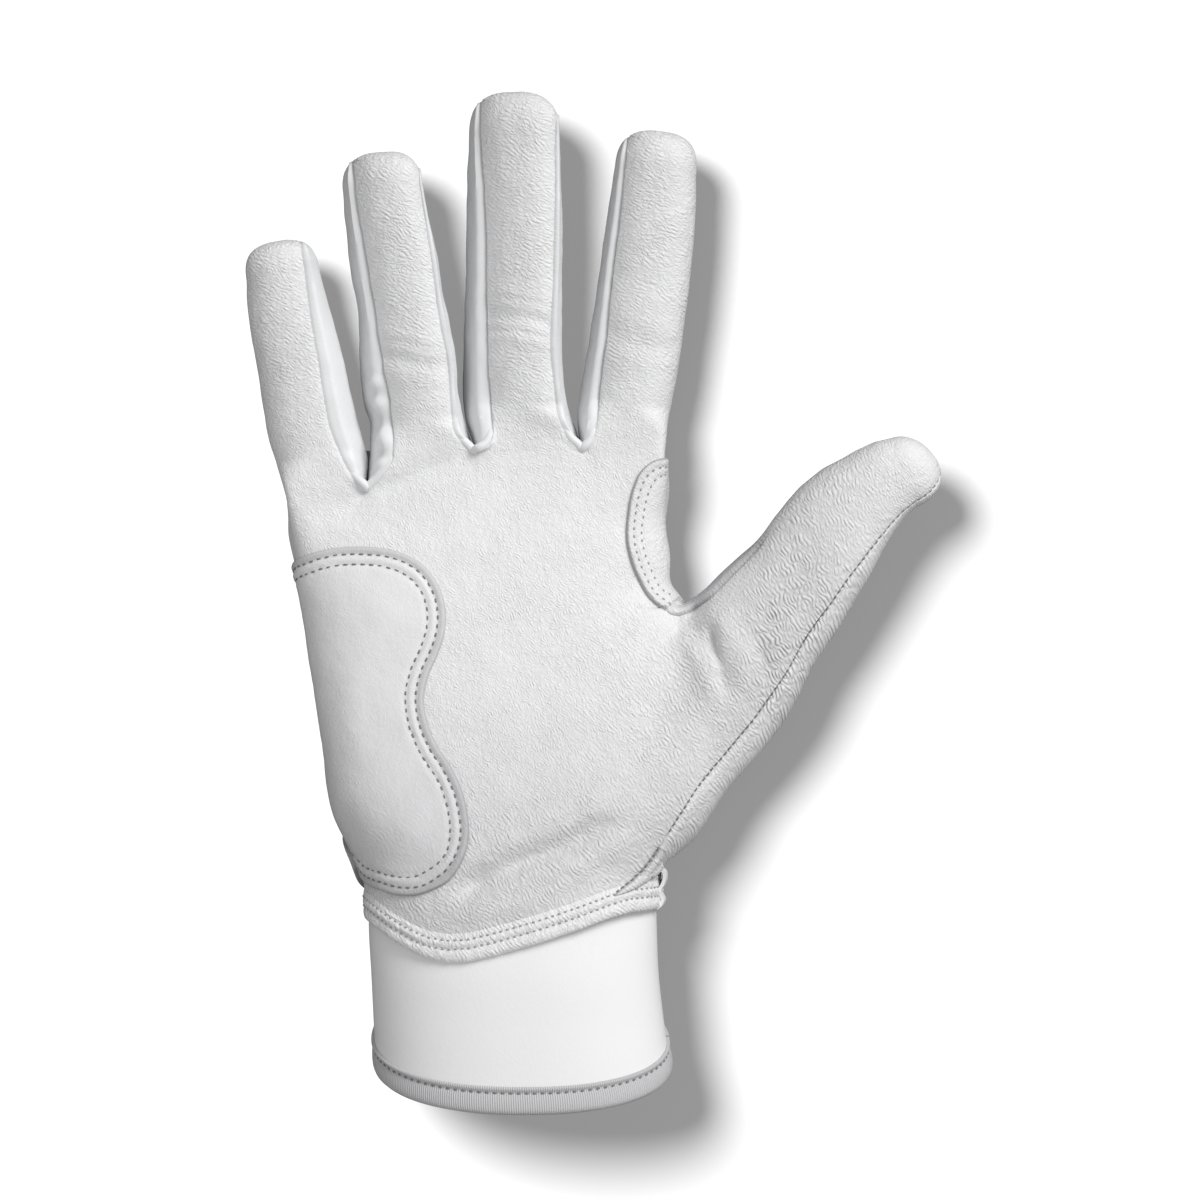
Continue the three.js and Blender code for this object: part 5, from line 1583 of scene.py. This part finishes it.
tab_line = wrapped(302, 314, (-TAB_HALF, TAB_HALF), 3.6)
tab_start, tab_end = tab_line[:, 0].mean(axis=0), tab_line[:, -1].mean(axis=0)
tab_long = np.linalg.norm(tab_end - tab_start) * MM
bpy.ops.object.select_all(action="DESELECT")
bpy.ops.mesh.primitive_grid_add(x_subdivisions=RIB_STRIPS, y_subdivisions=4, size=1)
pull_tab = bpy.context.object
pull_tab.name = "pull_grip"
pull_tab.scale = (tab_long, 2 * TAB_HALF * MM, 1)
bpy.ops.object.transform_apply(location=False, rotation=False, scale=True)
bpy.ops.object.mode_set(mode="EDIT")
bpy.ops.mesh.select_mode(type="FACE")
bpy.ops.mesh.select_all(action="SELECT")
bpy.ops.mesh.extrude_region_move(TRANSFORM_OT_translate={"value": (0, 0, -TAB_THICK * MM)})
bpy.ops.mesh.select_all(action="SELECT")
bpy.ops.mesh.normals_make_consistent(inside=False)
bpy.ops.mesh.select_all(action="DESELECT")
bpy.ops.object.mode_set(mode="OBJECT")
for face in pull_tab.data.polygons:
    face.select = face.normal.z < -0.5 and int((face.center.x / tab_long + 0.5) * RIB_STRIPS) % 2 == 1
bpy.ops.object.mode_set(mode="EDIT")
bpy.ops.mesh.extrude_region_move(TRANSFORM_OT_translate={"value": (0, 0, -RIB_HEIGHT * MM)})
bpy.ops.object.mode_set(mode="OBJECT")
apply_modifier(pull_tab, "BEVEL", width=RIB_ROUND * MM, segments=2, limit_method="ANGLE")
pull_tab.rotation_euler = (0, -math.atan2(tab_end[2] - tab_start[2], tab_end[0] - tab_start[0]), 0)
pull_tab.location = (tab_start + tab_end) / 2 * MM
bpy.ops.object.transform_apply(location=True, rotation=True, scale=True)
bpy.ops.object.shade_smooth_by_angle()
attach(dress(pull_tab, rubber_finish(), "pull_rubber", "strap_pull_tab"), "strap")

# Pull-on loop: a short length of white tape, folded double and sewn into the thumb side of the wrist
# to pull the glove on by. Its line is seen from above.
LOOP = [
    (32.8, -9.0), (34.0, -8.0), (34.5, -6.6), (33.9, -5.2), (33.7, -4.6), (34.4, -3.2), (34.9, -1.4),
    (34.6, 0.3), (33.4, 1.0), (32.2, 0.4),
]
LOOP_HEIGHTS = np.linspace(29.5, 18.5, 16)
LOOP_WALL = 0.8
LOOP_BOW = 0.5
loop_line = smooth_line(LOOP, 0.35)
loop_rows = np.array([np.column_stack([loop_line, np.full(len(loop_line), z)]) for z in LOOP_HEIGHTS])
loop_rows[..., 0] += np.sin(np.linspace(0, math.pi, len(LOOP_HEIGHTS)))[:, None] * LOOP_BOW
wrist_loop = add_sheet("pull_on_loop", loop_rows, LOOP_WALL)
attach(dress(wrist_loop, cuff_fabric, "tape", "wrist_tab"), "hand")

# Floor, light and camera: a white sheet under the glove, an even sky, a soft key from the thumb side
# that leaves the floor alone, and a lamp for the floor only, which throws the shadow to the lower right.
SKY_STRENGTH = 0.56
FLOOR_GLOW = 0.26
FRAME_WIDTH = 288  # how wide the picture is at the camera's centre
SENSOR = 36
bpy.ops.mesh.primitive_plane_add(size=6, location=(0, 0, 0))
floor = bpy.context.object
floor.name = "floor"
floor_finish = Finish("white floor")
seen_directly = floor_finish.node("ShaderNodeLightPath")
paper = floor_finish.node("ShaderNodeBsdfDiffuse", None, {"Color": (0.1, 0.1, 0.1, 1)})
glow = floor_finish.node("ShaderNodeEmission", None, {"Color": (1, 1, 1, 1), "Strength": FLOOR_GLOW})
lit = floor_finish.node("ShaderNodeAddShader", None, {0: paper, 1: glow})
dark = floor_finish.node("ShaderNodeBsdfDiffuse", None, {"Color": (0.004, 0.004, 0.004, 1)})
both = floor_finish.node("ShaderNodeMixShader", None, {0: seen_directly, 1: dark, 2: lit})
floor_finish.node("ShaderNodeOutputMaterial", None, {"Surface": both})
floor.data.materials.append(floor_finish.material)
floor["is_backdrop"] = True

world = bpy.data.worlds.new("studio")
bpy.context.scene.world = world
world.use_nodes = True
sky = world.node_tree.nodes["Background"].inputs
sky["Color"].default_value = (1, 1, 1, 1)
sky["Strength"].default_value = SKY_STRENGTH


def add_sun(name, direction, spread, strength, receivers, state):
    """A soft lamp from far off that lights only, or all but, the objects that it is given."""
    data = bpy.data.lights.new(name, "SUN")
    data.energy, data.angle = strength, math.radians(spread)
    lamp = bpy.data.objects.new(name, data)
    lamp.rotation_euler = (-Vector(direction)).to_track_quat("-Z", "Y").to_euler()
    bpy.context.scene.collection.objects.link(lamp)
    group = bpy.data.collections.new(f"{name} receivers")
    for receiver in receivers:
        group.objects.link(receiver)
    for link in group.collection_objects:
        link.light_linking.link_state = state
    lamp.light_linking.receiver_collection = group


add_sun("key", (0.56, 0.6, 0.58), spread=30, strength=2.05, receivers=[floor], state="EXCLUDE")
add_sun("shadow lamp", (-0.46, 0.38, 0.95), spread=22, strength=31, receivers=[floor], state="INCLUDE")
view = bpy.data.cameras.new("camera")
view.sensor_width = SENSOR
view.lens = SENSOR * DISTANCE / FRAME_WIDTH
camera = bpy.data.objects.new("camera", view)
camera.location = (CENTRE + (0, 0, DISTANCE)) * MM
bpy.context.scene.collection.objects.link(camera)
bpy.context.scene.camera = camera
bpy.context.scene.view_settings.view_transform = "Standard"

low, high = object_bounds()
